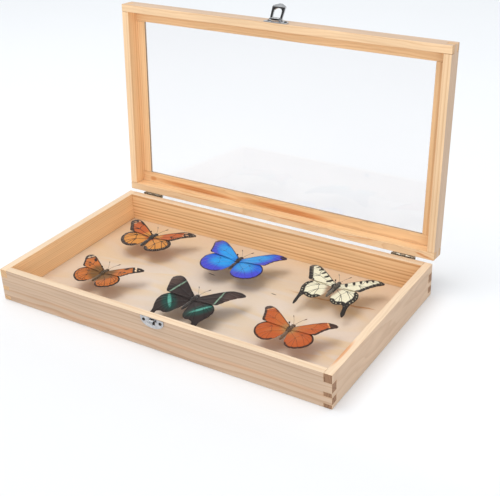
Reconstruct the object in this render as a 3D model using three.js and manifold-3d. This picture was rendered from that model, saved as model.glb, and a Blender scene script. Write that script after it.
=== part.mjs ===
// Insect display case: a finger-jointed pine case with a hinged glazed lid, a loop latch
// and six spread butterflies pinned to its plywood floor. The lid stands open.
//
// Millimetres, +Z up. The origin is the middle of the underside, +X runs along the long
// side, and -Y is the front, where the latch is.

import * as THREE from 'three';
import { mergeVertices } from 'three/addons/utils/BufferGeometryUtils.js';
import Module from 'manifold-3d';

const wasm = await Module();
wasm.setup();

// ---- Driving dimensions ----

const CASE_LENGTH = 400;
const CASE_WIDTH = 226;
const WALL = 8.5;
const WALL_HEIGHT = 37;
const FLOOR_THICKNESS = 4;
const RABBET = 4; // how far the floor panel is let into each wall

// Heights where the end grain changes hands at a case corner, from the underside up.
// The side walls own the first, third and fifth finger, the front and rear walls the others.
const FINGER_LEVELS = [0, 4.6, 12.2, 17, 27.4, WALL_HEIGHT];

const OPEN_ANGLE = 94; // degrees that the lid is turned back from closed
const HINGE_OFFSET = 2; // from the rear face out to the hinge axis, which is level with the seam
const LID_GAP = 0.3; // between the closed lid and the walls
const LID_HEIGHT = 18.5;
const FLANGE_THICKNESS = 4;
const FLANGE_INSET = 20.5; // from the outside of the lid to the edge of the opening
const TONGUE_LOW = 6; // a stile's tongue through a rail, measured from the lid's mating face
const TONGUE_HIGH = 13.5;
const GLUE_GAP = 0.2;
const PANE_THICKNESS = 2;
const PANE_TUCK = 5; // how far the glass reaches into its groove
const PANE_CLEARANCE = 0.3;

const HINGE_CENTRES = [-166, 166];
const HINGE_LENGTH = 26;
const KNUCKLE_COUNT = 5;
const KNUCKLE_GAP = 0.24;
const KNUCKLE_RADIUS = 1.7;
const BORE_RADIUS = 1.05;
const PIN_RADIUS = 0.8;
const LEAF_THICKNESS = 1;
const LEAF_START = 2.2; // from the hinge axis to the near edge of the leaf's plate
const LEAF_END = 11.5;
const LEAF_OVERLAP = 0.5; // how far the strips round the pin reach into the leaf's plate
const LEAF_SCREW_SPREAD = 8;
const LEAF_SCREW_HEIGHT = 7;

const LATCH_X = 4;
const PLATE_WIDTH = 28;
const PLATE_THICKNESS = 1;
const PLATE_SIDE = 3; // straight part of the D-shaped plates before the round starts
const CATCH_TOP = 36.8;
const CATCH_HEIGHT = 11.2;
const CATCH_SCREW_DROP = 3.6;
const HOOK_WIDTH = 6;
// The hook from the side: how far out of the plate's face, and how high from the plate's top.
const HOOK_PROFILE = [
  [-0.4, -1], [1.8, -1], [3.3, -1.8], [3.9, -3.6], [3.7, -6],
  [2.8, -6], [2.8, -3.2], [1.6, -2.1], [-0.4, -2.1],
];
const HOOK_WINDOW = [-7, -2.5]; // heights of the hole that the hook was pressed out of
const HOOK_WINDOW_HALF = 3.6;
const LATCH_PLATE_HEIGHT = 11;
const LATCH_PLATE_RISE = 1; // from the lid's mating face to the plate's flat edge
const LATCH_SCREW_RISE = 4.6;
const PLATE_SCREW_SPREAD = 10;
const LOOP_AXIS_OUT = 3.1; // from the lid's front face out to the loop's axis
const LOOP_AXIS_RISE = 3; // from the lid's mating face to the loop's axis
const LOOP_SWING = 119; // degrees from hanging over the catch to leaning back
const LOOP_THICKNESS = 1.6;
const LOOP_INNER = 4.75; // half the clear width between the arms
const LOOP_OUTER = 7.2;
const LOOP_SHOULDER = 7.8; // half the width at the bend
const LOOP_ARCH_START = 9; // from the axis down to where the clear space starts to close
const LOOP_ARCH_HEIGHT = 3.5;
const LOOP_BEND = 13.8; // from the axis down to where the finger lip is bent out
const LIP_ANGLE = 35;
const LIP_LENGTH = 5;
const LIP_SIDE = 1.2; // straight part of the lip's sides
const LIP_END = 1.8; // half the width of its end
const BARREL_HALF = 4.45;
const BARREL_RADIUS = 2.6;
const WEB_RISE = 1.3; // from the axis up to the sheet that joins the barrel to its plate
const WEB_OVERLAP = 0.3; // how far that sheet reaches into the plate

const CROSS_PIN_HEAD_RADIUS = 1.3;
const CROSS_PIN_HEAD_LENGTH = 0.6;

const SCREW_SHANK_RADIUS = 0.8;
const SCREW_SHANK_LENGTH = 5;
const SCREW_POINT_LENGTH = 1.2;
const SCREW_HEAD_RADIUS = 1.7;
const SCREW_HEAD_TOP_RADIUS = 1.36;
const SCREW_HEAD_HEIGHT = 0.7;
const PILOT_DEPTH = 6;

const WING_LEVEL = 20; // height of the wing bases above the underside
const WING_THICKNESS = 0.7;
const WING_LIFT = 6; // degrees that the wings rise towards their tips
const HINDWING_DROP = 0.9;
const LEG_RADIUS = 0.35;
const LEG_ROOTS = [-2.5, 0.5, 3.5]; // places of the three pairs along the body
const HIP_OUT = 0.3; // shares of half the body's width
const HIP_DROP = 0.5;
const LEG_SPLAY = 1.9; // how many times farther apart the feet are than the roots
const FOOT_OUT = 3;
const FOOT_DROP = 4;
const BROW = 0.97; // where the antennae grow, as a share of the body's length
const ANTENNA_ROOT = [0.3, -1, 0.3]; // out, ahead and up from the brow
const ANTENNA_TIP = [7.7, 12.5, 2.3];
const ANTENNA_RADIUS = 0.3;
const CLUB_START = 0.78; // share of an antenna that is thin
const CLUB_RADIUS = 0.65;
const INSECT_PIN_RADIUS = 0.4;
const INSECT_PIN_TIP = 1.6;
const INSECT_PIN_TOP = 29.4;
const INSECT_PIN_HEAD = 0.9;
const INSECT_PIN_SEGMENTS = 6;
const PIN_HOLE_RADIUS = 0.75;
const PIN_HOLE_BOTTOM = 1.2;

const ROUND_SEGMENTS = 10; // of a knuckle or eye
const SMALL_SEGMENTS = 8; // of a bore, pin or screw
const THREAD_SEGMENTS = 3; // of a leg or antenna

// ---- Worked out from the dimensions above ----

const HALF_LENGTH = CASE_LENGTH / 2;
const HALF_WIDTH = CASE_WIDTH / 2;
const INNER_X = HALF_LENGTH - WALL;
const INNER_Y = HALF_WIDTH - WALL;
const OPENING_X = HALF_LENGTH - FLANGE_INSET;

// The lid is drawn closed, in a frame whose X axis is the hinge axis.
const LID_BACK = -HINGE_OFFSET;
const LID_FRONT = LID_BACK - CASE_WIDTH;
const LID_BOTTOM = LID_GAP;
const LID_TOP = LID_GAP + LID_HEIGHT;
const FLANGE_BOTTOM = LID_TOP - FLANGE_THICKNESS;
const PANE_BOTTOM = LID_TOP - (FLANGE_THICKNESS + PANE_THICKNESS) / 2;

// ---- Butterflies ----
// Each outline is half of a pair, seen from above in millimetres, x away from the body and
// y towards the head. Smooth closed curves run through the points.

const MONARCH = {
  name: 'monarch_butterfly',
  place: [-119, 47],
  bodyLength: 33,
  bodyWidth: 6.4,
  color: 0xc9752d,
  forewing: [[1, 4.5], [10, 10.5], [20, 17], [30, 22.5], [38, 26], [44, 26.6], [45.8, 23.5], [42.5, 15.5],
    [37, 8], [33, 2], [30, -1.6], [20, -1.5], [10, -0.8], [1, 0]],
  hindwing: [[1, 0.5], [10, 1.5], [20, 1.5], [28, -1.5], [32.5, -7.5], [32.5, -14.5], [29, -21],
    [23, -26.5], [16, -29], [9.5, -27.5], [5, -21], [2.5, -12], [1, -5]],
};

const MORPHO = {
  name: 'blue_morpho_butterfly',
  place: [0, 47],
  bodyLength: 29,
  bodyWidth: 5.6,
  color: 0x2f6fd6,
  forewing: [[1, 4.5], [10, 11.5], [20, 19], [30, 25], [38, 28.8], [44.5, 29.8], [46.6, 26.5], [44, 19],
    [40.5, 11.5], [38, 5], [35.5, -1.2], [26, -2], [13, -1.5], [1, -0.5]],
  hindwing: [[1, 0], [12, 1.5], [24, 1.5], [33, -2.5], [37.5, -9.5], [37.5, -17.5], [34, -25],
    [27.5, -30.5], [19, -32.8], [11, -31], [5.5, -24.5], [2.5, -15], [1, -6]],
};

const SWALLOWTAIL = {
  name: 'pale_swallowtail_butterfly',
  place: [120, 48],
  bodyLength: 33,
  bodyWidth: 6,
  color: 0xe8dba6,
  forewing: [[1, 4.5], [10, 11], [20, 18.5], [30, 25], [37, 28.6], [42, 29], [43.6, 25.5], [40.5, 17.5],
    [36.5, 9.5], [33, 2.5], [30, -3], [21, -3], [11, -2], [1, -1]],
  hindwing: [[1, -0.5], [12, 0], [22, -1], [29, -5], [31.4, -11.5], [31, -18], [29, -24], [28.3, -31],
    [28.6, -38], [27, -41.5], [24.9, -39], [24, -32], [22, -28.8], [17.5, -30.5], [12, -30.6], [7.5, -27],
    [4.5, -19], [2.5, -11], [1, -5]],
};

const TIGER = {
  name: 'tiger_butterfly',
  place: [-116, -45],
  bodyLength: 29,
  bodyWidth: 5.4,
  color: 0xb5652a,
  forewing: [[1, 4], [9, 9.5], [18, 15.5], [26, 20.5], [33, 23.8], [38.2, 24], [39.4, 21], [36.5, 14],
    [32, 7.5], [29, 2], [26.5, -1.6], [18, -1.6], [9, -0.8], [1, 0]],
  hindwing: [[1, 0], [10, 1], [18, 1], [24.5, -1.5], [28.5, -7], [28.5, -13.5], [25.5, -19.5],
    [20, -24.3], [14, -26.6], [8.5, -24.8], [4.5, -18.5], [2.5, -10.5], [1, -4.5]],
};

const DARK_SWALLOWTAIL = {
  name: 'dark_swallowtail_butterfly',
  place: [3, -44],
  bodyLength: 32,
  bodyWidth: 6,
  color: 0x241d18,
  forewing: [[1, 4.5], [10, 12.5], [20, 21], [30, 28.3], [37.5, 32.4], [43, 33], [45.2, 29.5], [43, 22],
    [39.5, 14], [36.3, 7], [33.5, 0.5], [30.5, -3.5], [21, -3.5], [11, -2.3], [1, -1]],
  hindwing: [[1, -0.5], [13, 0], [24, -1.5], [31, -6.5], [33.6, -13], [33, -20], [30.5, -26.5], [28.2, -32],
    [27.6, -38], [25.4, -41.2], [22.6, -39.5], [21.6, -34.4], [17.5, -33.2], [12.5, -33.6], [8, -30.2],
    [5, -22.5], [2.5, -13], [1, -6]],
};

const FRITILLARY = {
  name: 'orange_butterfly',
  place: [118, -45],
  bodyLength: 30,
  bodyWidth: 5.6,
  color: 0xd27d2c,
  forewing: [[1, 4], [10, 10.5], [20, 17.5], [29, 23], [36, 26.2], [40, 25.6], [40.4, 21.5], [37, 15],
    [34.2, 9], [32, 3], [29.5, -2], [20, -2], [10, -1], [1, 0]],
  hindwing: [[1, 0], [11, 1], [20, 1], [27, -2], [31, -8], [31, -14.5], [28, -20.8], [22.5, -25.8],
    [16, -28.2], [10, -26.6], [5.5, -20.5], [3, -12], [1, -5]],
};

const BUTTERFLIES = [MONARCH, MORPHO, SWALLOWTAIL, TIGER, DARK_SWALLOWTAIL, FRITILLARY];

// Body profile: radius as a share of half the width, and place as a share of the length,
// from the tip of the abdomen to the front of the head. The wings grow at WING_ROOT.
const BODY_PROFILE = [[0, 0], [0.5, 0.05], [0.7, 0.28], [0.52, 0.5], [0.95, 0.62], [0.95, 0.74],
  [0.42, 0.87], [0.56, 0.94], [0, 1]];
const WING_ROOT = 0.66;
const BODY_SEGMENTS = 7;
const OUTLINE_DENSITY = 1.5; // corners of a wing for each point of its outline

// ---- Shaping helpers ----

function toManifold(geometry) {
  const bare = geometry.clone();
  bare.deleteAttribute('normal');
  bare.deleteAttribute('uv');
  const merged = mergeVertices(bare, 1e-5);
  return new wasm.Manifold(new wasm.Mesh({
    numProp: 3,
    vertProperties: new Float32Array(merged.attributes.position.array),
    triVerts: new Uint32Array(merged.index.array),
  }));
}

function toGeometry(solid) {
  const mesh = solid.getMesh();
  const geometry = new THREE.BufferGeometry();
  geometry.setAttribute('position', new THREE.BufferAttribute(mesh.vertProperties, 3));
  geometry.setIndex(new THREE.BufferAttribute(mesh.triVerts, 1));
  geometry.computeVertexNormals();
  return geometry;
}

// Joins the first list of geometries in one solid and cuts the second list from it.
function shape(joined, cut = []) {
  const joinedSolid = joined.map(toManifold).reduce((whole, piece) => whole.add(piece));
  const solid = cut.map(toManifold).reduce((whole, piece) => whole.subtract(piece), joinedSolid);
  return toGeometry(solid);
}

function box([x0, x1], [y0, y1], [z0, z1]) {
  const geometry = new THREE.BoxGeometry(x1 - x0, y1 - y0, z1 - z0);
  return geometry.translate((x0 + x1) / 2, (y0 + y1) / 2, (z0 + z1) / 2);
}

function span(edgeA, edgeB) {
  return [Math.min(edgeA, edgeB), Math.max(edgeA, edgeB)];
}

// A straight round bar between two points.
function bar(from, to, radius, segments = ROUND_SEGMENTS) {
  const start = new THREE.Vector3(...from);
  const end = new THREE.Vector3(...to);
  const along = end.clone().sub(start);
  const geometry = new THREE.CylinderGeometry(radius, radius, along.length(), segments);
  const turn = new THREE.Quaternion().setFromUnitVectors(new THREE.Vector3(0, 1, 0), along.normalize());
  const middle = start.add(end).multiplyScalar(0.5);
  return geometry.applyQuaternion(turn).translate(middle.x, middle.y, middle.z);
}

function extrude(outline, depth) {
  return new THREE.ExtrudeGeometry(outline, { depth, bevelEnabled: false, steps: 1, curveSegments: 10 });
}

function part(name, geometry, { color, roughness, metalness = 0 }) {
  const mesh = new THREE.Mesh(geometry, new THREE.MeshStandardMaterial({ color, roughness, metalness }));
  mesh.name = name;
  return mesh;
}

const PINE = { color: 0xe6c79c, roughness: 0.6 };
const PLYWOOD = { color: 0xdcc3a3, roughness: 0.6 };
const GLASS = { color: 0xe8f2f4, roughness: 0.05 };
const STEEL = { color: 0xb9bcc0, roughness: 0.3, metalness: 1 };
const DARK_STEEL = { color: 0x5c5650, roughness: 0.4, metalness: 1 };

// ---- Screws ----
// A screw's axis is its local Z, with the head outwards and the plate's face at z = 0.

function screwGeometry() {
  const profile = [
    [0, -SCREW_SHANK_LENGTH],
    [SCREW_SHANK_RADIUS, -SCREW_SHANK_LENGTH + SCREW_POINT_LENGTH],
    [SCREW_SHANK_RADIUS, GLUE_GAP],
    [SCREW_HEAD_RADIUS, GLUE_GAP],
    [SCREW_HEAD_TOP_RADIUS, GLUE_GAP + SCREW_HEAD_HEIGHT],
    [0, GLUE_GAP + SCREW_HEAD_HEIGHT],
  ];
  const lathe = new THREE.LatheGeometry(profile.map(([r, z]) => new THREE.Vector2(r, z)), SMALL_SEGMENTS);
  return shape([lathe.rotateX(Math.PI / 2)]);
}

// facing is +1 for a screw driven in from the back, and -1 for one driven in from the front.
function screw(name, [x, y, z], facing) {
  const mesh = part(name, screwGeometry(), STEEL);
  mesh.position.set(x, y, z);
  mesh.rotation.x = -facing * Math.PI / 2;
  return mesh;
}

function pilotHole([x, y, z], facing) {
  return bar([x, y + facing, z], [x, y - facing * PILOT_DEPTH, z], BORE_RADIUS, SMALL_SEGMENTS);
}

// Hinge screws in the hinge's own frame. direction is -1 below the axis and +1 above it.
function hingeScrewPlaces(direction) {
  const face = -HINGE_OFFSET + GLUE_GAP + LEAF_THICKNESS;
  return HINGE_CENTRES.flatMap((centre) => [-1, 1].map((side) => [
    centre + side * LEAF_SCREW_SPREAD, face, direction * LEAF_SCREW_HEIGHT,
  ]));
}

const caseHingeScrews = hingeScrewPlaces(-1).map(([x, y, z]) => [
  x, y + HALF_WIDTH + HINGE_OFFSET, z + WALL_HEIGHT,
]);
const lidHingeScrews = hingeScrewPlaces(1);

const catchScrews = [-1, 1].map((side) => [
  LATCH_X + side * PLATE_SCREW_SPREAD, -HALF_WIDTH - PLATE_THICKNESS, CATCH_TOP - CATCH_SCREW_DROP,
]);
const latchScrews = [-1, 1].map((side) => [
  LATCH_X + side * PLATE_SCREW_SPREAD,
  LID_FRONT - GLUE_GAP - PLATE_THICKNESS,
  LID_BOTTOM + LATCH_PLATE_RISE + LATCH_SCREW_RISE,
]);

// ---- Case ----

const floorBlank = () => box(
  [-INNER_X - RABBET, INNER_X + RABBET],
  [-INNER_Y - RABBET, INNER_Y + RABBET],
  [0, FLOOR_THICKNESS],
);

// Corner blocks at the given finger numbers, on both ends of the wall at this side.
function cornerFingers(xSides, ySides, numbers) {
  return xSides.flatMap((xSide) => ySides.flatMap((ySide) => numbers.map((number) => box(
    span(xSide * INNER_X, xSide * HALF_LENGTH),
    span(ySide * INNER_Y, ySide * HALF_WIDTH),
    [FINGER_LEVELS[number], FINGER_LEVELS[number + 1]],
  ))));
}

const SIDE_FINGERS = [0, 2, 4];

function longWall(ySide, holes) {
  const blank = box(
    [-HALF_LENGTH, HALF_LENGTH],
    span(ySide * INNER_Y, ySide * HALF_WIDTH),
    [0, WALL_HEIGHT],
  );
  return shape([blank], [...cornerFingers([-1, 1], [ySide], SIDE_FINGERS), floorBlank(), ...holes]);
}

function sideWall(xSide) {
  const blank = box(span(xSide * INNER_X, xSide * HALF_LENGTH), [-INNER_Y, INNER_Y], [0, WALL_HEIGHT]);
  return shape([blank, ...cornerFingers([xSide], [-1, 1], SIDE_FINGERS)], [floorBlank()]);
}

function bottomPanel() {
  const pinHoles = BUTTERFLIES.map(({ place: [x, y] }) => bar(
    [x, y, PIN_HOLE_BOTTOM], [x, y, FLOOR_THICKNESS + 1], PIN_HOLE_RADIUS, THREAD_SEGMENTS * 2,
  ));
  return shape([floorBlank()], pinHoles);
}

// ---- Lid ----

const paneBox = (clearance) => box(
  [-OPENING_X - PANE_TUCK - clearance, OPENING_X + PANE_TUCK + clearance],
  [LID_FRONT + FLANGE_INSET - PANE_TUCK - clearance, LID_BACK - FLANGE_INSET + PANE_TUCK + clearance],
  [PANE_BOTTOM - clearance, PANE_BOTTOM + PANE_THICKNESS + clearance],
);

// A rail runs the whole length. ySide is -1 at the front and +1 at the hinges.
function lidRail(ySide, holes) {
  const outer = ySide < 0 ? LID_FRONT : LID_BACK;
  const inner = outer - ySide * WALL;
  const opening = outer - ySide * FLANGE_INSET;
  const rim = box([-HALF_LENGTH, HALF_LENGTH], span(outer, inner), [LID_BOTTOM, LID_TOP]);
  const flange = box(
    [-INNER_X + GLUE_GAP, INNER_X - GLUE_GAP],
    span(inner + ySide, opening),
    [FLANGE_BOTTOM, LID_TOP],
  );
  const slots = [-1, 1].map((xSide) => box(
    span(xSide * (INNER_X - GLUE_GAP), xSide * (HALF_LENGTH + 1)),
    span(outer + ySide, inner - ySide),
    [LID_BOTTOM + TONGUE_LOW - GLUE_GAP, LID_BOTTOM + TONGUE_HIGH + GLUE_GAP],
  ));
  return shape([rim, flange], [...slots, paneBox(PANE_CLEARANCE), ...holes]);
}

// A stile stands between the rails, with a tongue through each of them.
function lidStile(xSide) {
  const rim = box(
    span(xSide * INNER_X, xSide * HALF_LENGTH),
    [LID_FRONT + WALL + GLUE_GAP, LID_BACK - WALL - GLUE_GAP],
    [LID_BOTTOM, LID_TOP],
  );
  const tongue = box(
    span(xSide * INNER_X, xSide * HALF_LENGTH),
    [LID_FRONT, LID_BACK],
    [LID_BOTTOM + TONGUE_LOW, LID_BOTTOM + TONGUE_HIGH],
  );
  const flange = box(
    span(xSide * (INNER_X + 1), xSide * OPENING_X),
    [LID_FRONT + FLANGE_INSET + GLUE_GAP, LID_BACK - FLANGE_INSET - GLUE_GAP],
    [FLANGE_BOTTOM, LID_TOP],
  );
  return shape([rim, tongue, flange], [paneBox(PANE_CLEARANCE)]);
}

// ---- Hinges ----
// A hinge's X axis is its pin. Its leaf lies against the wood at y = -HINGE_OFFSET and
// reaches up from the pin; the case's leaf is the same thing turned to reach down.

function knuckleSpan(number) {
  const pitch = HINGE_LENGTH / KNUCKLE_COUNT;
  const start = -HINGE_LENGTH / 2 + number * pitch;
  return [start + KNUCKLE_GAP / 2, start + pitch - KNUCKLE_GAP / 2];
}

function hingeLeaf(knuckles) {
  const sheet = [-HINGE_OFFSET + GLUE_GAP, -HINGE_OFFSET + GLUE_GAP + LEAF_THICKNESS];
  const plate = box([-HINGE_LENGTH / 2, HINGE_LENGTH / 2], sheet, [LEAF_START, LEAF_END]);
  const rolls = knuckles.flatMap((number) => {
    const [start, end] = knuckleSpan(number);
    return [
      bar([start, 0, 0], [end, 0, 0], KNUCKLE_RADIUS),
      box([start, end], sheet, [LID_GAP, LEAF_START + LEAF_OVERLAP]),
    ];
  });
  const bore = bar([-HINGE_LENGTH, 0, 0], [HINGE_LENGTH, 0, 0], BORE_RADIUS, SMALL_SEGMENTS);
  const face = sheet[1];
  const screwHoles = [-1, 1].map((side) => pilotHole(
    [side * LEAF_SCREW_SPREAD, face, LEAF_SCREW_HEIGHT], 1,
  ));
  return shape([plate, ...rolls], [bore, ...screwHoles]);
}

// A pin with a low head at each end, along X.
function crossPin(halfLength) {
  const shaft = bar([-halfLength, 0, 0], [halfLength, 0, 0], PIN_RADIUS, SMALL_SEGMENTS);
  const heads = [-1, 1].map((side) => bar(
    [side * halfLength, 0, 0],
    [side * (halfLength + CROSS_PIN_HEAD_LENGTH), 0, 0],
    CROSS_PIN_HEAD_RADIUS,
    SMALL_SEGMENTS,
  ));
  return shape([shaft, ...heads]);
}

function addHinges(caseGroup, lidGroup) {
  HINGE_CENTRES.forEach((centre, index) => {
    const side = index === 0 ? 'left' : 'right';
    const caseLeaf = part(`hinge_${side}_case_leaf`, hingeLeaf([0, 2, 4]), DARK_STEEL);
    caseLeaf.position.set(centre, HALF_WIDTH + HINGE_OFFSET, WALL_HEIGHT);
    caseLeaf.rotation.y = Math.PI;
    const pin = part(`hinge_${side}_pin`, crossPin(HINGE_LENGTH / 2 + KNUCKLE_GAP), DARK_STEEL);
    pin.position.copy(caseLeaf.position);
    caseGroup.add(caseLeaf, pin);

    const lidLeaf = part(`hinge_${side}_lid_leaf`, hingeLeaf([1, 3]), DARK_STEEL);
    lidLeaf.position.set(centre, 0, 0);
    lidGroup.add(lidLeaf);
  });
  caseHingeScrews.forEach((place, index) => caseGroup.add(screw(`case_hinge_screw_${index + 1}`, place, 1)));
  lidHingeScrews.forEach((place, index) => lidGroup.add(screw(`lid_hinge_screw_${index + 1}`, place, 1)));
}

// ---- Latch ----

// A D-shaped plate in the XZ plane, its straight edge on z = 0 and its round side at +Z.
// It reaches from y = 0 forward to y = -PLATE_THICKNESS.
function roundedPlate(height) {
  const half = PLATE_WIDTH / 2;
  const outline = new THREE.Shape();
  outline.moveTo(-half, 0);
  outline.lineTo(half, 0);
  outline.lineTo(half, PLATE_SIDE);
  outline.absellipse(0, PLATE_SIDE, half, height - PLATE_SIDE, 0, Math.PI, false);
  return extrude(outline, PLATE_THICKNESS).rotateX(Math.PI / 2);
}

// The hook is pressed out of the catch's plate and turns down over the loop's end bar.
function hook() {
  const corners = HOOK_PROFILE.map(([out, z]) => new THREE.Vector2(PLATE_THICKNESS + out, z));
  const outline = new THREE.Shape(corners);
  // The outline's x is the way out of the plate, and its y is up.
  return extrude(outline, HOOK_WIDTH).rotateX(Math.PI / 2).rotateZ(-Math.PI / 2)
    .translate(HOOK_WIDTH / 2, 0, 0);
}

// The catch is drawn with its straight upper edge at z = 0 and its back at y = 0.
function catchGeometry() {
  const plate = roundedPlate(CATCH_HEIGHT).rotateY(Math.PI);
  const holes = [-1, 1].map((side) => pilotHole(
    [side * PLATE_SCREW_SPREAD, -PLATE_THICKNESS, -CATCH_SCREW_DROP], -1,
  ));
  const hookWindow = box([-HOOK_WINDOW_HALF, HOOK_WINDOW_HALF], [-PLATE_THICKNESS - 0.1, 0.1], HOOK_WINDOW);
  return shape([plate, hook()], [...holes, hookWindow]);
}

function latchPlateGeometry() {
  const plate = roundedPlate(LATCH_PLATE_HEIGHT).translate(0, -GLUE_GAP, 0);
  const axisRise = LOOP_AXIS_RISE - LATCH_PLATE_RISE;
  const barrelSpan = [-BARREL_HALF, BARREL_HALF];
  const axisBar = (halfLength, radius, segments) => bar(
    [-halfLength, -LOOP_AXIS_OUT, axisRise], [halfLength, -LOOP_AXIS_OUT, axisRise], radius, segments,
  );
  const barrel = axisBar(BARREL_HALF, BARREL_RADIUS, ROUND_SEGMENTS);
  const web = box(
    barrelSpan,
    [-LOOP_AXIS_OUT, -GLUE_GAP - WEB_OVERLAP],
    [axisRise + WEB_RISE, axisRise + BARREL_RADIUS],
  );
  const bore = axisBar(PLATE_WIDTH, BORE_RADIUS, SMALL_SEGMENTS);
  const holes = [-1, 1].map((side) => pilotHole(
    [side * PLATE_SCREW_SPREAD, -GLUE_GAP - PLATE_THICKNESS, LATCH_SCREW_RISE], -1,
  ));
  return shape([plate, barrel, web], [bore, ...holes]);
}

// The loop hangs from its axis, which is X: two flat arms, an end bar and a bent finger lip.
function loopGeometry() {
  const outline = new THREE.Shape();
  outline.moveTo(-LOOP_OUTER, 0);
  outline.lineTo(-LOOP_SHOULDER, -LOOP_BEND);
  outline.lineTo(LOOP_SHOULDER, -LOOP_BEND);
  outline.lineTo(LOOP_OUTER, 0);
  outline.lineTo(LOOP_INNER, 0);
  outline.lineTo(LOOP_INNER, -LOOP_ARCH_START);
  outline.absellipse(0, -LOOP_ARCH_START, LOOP_INNER, LOOP_ARCH_HEIGHT, 0, Math.PI, true);
  outline.lineTo(-LOOP_INNER, 0);
  const sheet = (shapeOutline) => extrude(shapeOutline, LOOP_THICKNESS)
    .rotateX(Math.PI / 2).translate(0, LOOP_THICKNESS / 2, 0);
  const eyes = [-1, 1].map((side) => bar(
    [side * LOOP_INNER, 0, 0], [side * LOOP_OUTER, 0, 0], KNUCKLE_RADIUS,
  ));
  const bore = bar([-PLATE_WIDTH, 0, 0], [PLATE_WIDTH, 0, 0], BORE_RADIUS, SMALL_SEGMENTS);
  const lip = sheet(lipOutline())
    .rotateX(-THREE.MathUtils.degToRad(LIP_ANGLE)).translate(0, 0, -LOOP_BEND);
  return shape([sheet(outline), lip, ...eyes], [bore]);
}

// The lip from the bend at y = 0 down. It starts a little above the bend to fill its corner.
function lipOutline() {
  const overlap = LOOP_THICKNESS * 0.4;
  const corners = [
    [-LOOP_SHOULDER, overlap], [-LOOP_SHOULDER, -LIP_SIDE], [-LIP_END, -LIP_LENGTH],
    [LIP_END, -LIP_LENGTH], [LOOP_SHOULDER, -LIP_SIDE], [LOOP_SHOULDER, overlap],
  ];
  return new THREE.Shape(corners.map(([x, y]) => new THREE.Vector2(x, y)));
}

function addLatch(caseGroup, lidGroup) {
  const catchMesh = part('latch_catch', catchGeometry(), STEEL);
  catchMesh.position.set(LATCH_X, -HALF_WIDTH, CATCH_TOP);
  caseGroup.add(catchMesh);
  catchScrews.forEach((place, index) => caseGroup.add(screw(`catch_screw_${index + 1}`, place, -1)));

  const plate = part('latch_plate', latchPlateGeometry(), STEEL);
  plate.position.set(LATCH_X, LID_FRONT, LID_BOTTOM + LATCH_PLATE_RISE);
  const pin = part('latch_pin', crossPin(LOOP_OUTER + KNUCKLE_GAP), STEEL);
  pin.position.set(LATCH_X, LID_FRONT - LOOP_AXIS_OUT, LID_BOTTOM + LOOP_AXIS_RISE);
  lidGroup.add(plate, pin);
  latchScrews.forEach((place, index) => lidGroup.add(screw(`latch_screw_${index + 1}`, place, -1)));

  const loop = part('latch_loop', loopGeometry(), STEEL);
  loop.position.copy(pin.position);
  loop.rotation.x = -THREE.MathUtils.degToRad(LOOP_SWING);
  lidGroup.add(loop);
}

// ---- Specimens ----
// A butterfly is drawn with its wing roots on the origin, its head towards +Y.

function wing(points, side, lift) {
  const loop = new THREE.CatmullRomCurve3(points.map(([x, y]) => new THREE.Vector3(side * x, y, 0)), true);
  const corners = loop.getPoints(Math.round(points.length * OUTLINE_DENSITY)).slice(1);
  const outline = new THREE.Shape(corners.map(({ x, y }) => new THREE.Vector2(x, y)));
  const tilt = THREE.MathUtils.degToRad(WING_LIFT);
  return extrude(outline, WING_THICKNESS).rotateY(-side * tilt).translate(0, 0, lift);
}

function insectBody({ bodyLength, bodyWidth }) {
  const profile = BODY_PROFILE.map(([radius, along]) => new THREE.Vector2(
    radius * bodyWidth / 2, (along - WING_ROOT) * bodyLength,
  ));
  return new THREE.LatheGeometry(profile, BODY_SEGMENTS);
}

function legs({ bodyWidth }) {
  const reach = bodyWidth / 2;
  return [-1, 1].flatMap((side) => LEG_ROOTS.map((root) => {
    const hip = [side * reach * HIP_OUT, root, -reach * HIP_DROP];
    const foot = [side * (reach + FOOT_OUT), root * LEG_SPLAY, -reach - FOOT_DROP];
    return bar(hip, foot, LEG_RADIUS, THREAD_SEGMENTS);
  }));
}

// Two thin antennae that end in thicker clubs.
function antennae({ bodyLength }) {
  const brow = (BROW - WING_ROOT) * bodyLength;
  return [-1, 1].flatMap((side) => {
    const place = ([out, ahead, up]) => new THREE.Vector3(side * out, brow + ahead, up);
    const root = place(ANTENNA_ROOT);
    const tip = place(ANTENNA_TIP);
    const clubStart = root.clone().lerp(tip, CLUB_START);
    const clubMiddle = clubStart.clone().lerp(tip, 0.5);
    return [
      bar(root, clubMiddle, ANTENNA_RADIUS, THREAD_SEGMENTS),
      bar(clubStart, tip, CLUB_RADIUS, THREAD_SEGMENTS),
    ];
  });
}

function insectPin() {
  const top = INSECT_PIN_TOP - WING_LEVEL;
  const headMiddle = top - INSECT_PIN_HEAD;
  const tip = [0, 0, INSECT_PIN_TIP - WING_LEVEL];
  const shaft = bar(tip, [0, 0, headMiddle], INSECT_PIN_RADIUS, INSECT_PIN_SEGMENTS);
  const head = new THREE.SphereGeometry(INSECT_PIN_HEAD, INSECT_PIN_SEGMENTS, 4).rotateX(Math.PI / 2);
  return [shaft, head.translate(0, 0, headMiddle)];
}

function butterfly(species) {
  const wings = [-1, 1].flatMap((side) => [
    wing(species.hindwing, side, -HINDWING_DROP),
    wing(species.forewing, side, 0),
  ]);
  const geometry = shape([
    insectBody(species), ...wings, ...legs(species), ...antennae(species), ...insectPin(),
  ]);
  const mesh = part(species.name, geometry, { color: species.color, roughness: 0.75 });
  mesh.position.set(...species.place, WING_LEVEL);
  return mesh;
}

// ---- The whole object ----

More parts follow.
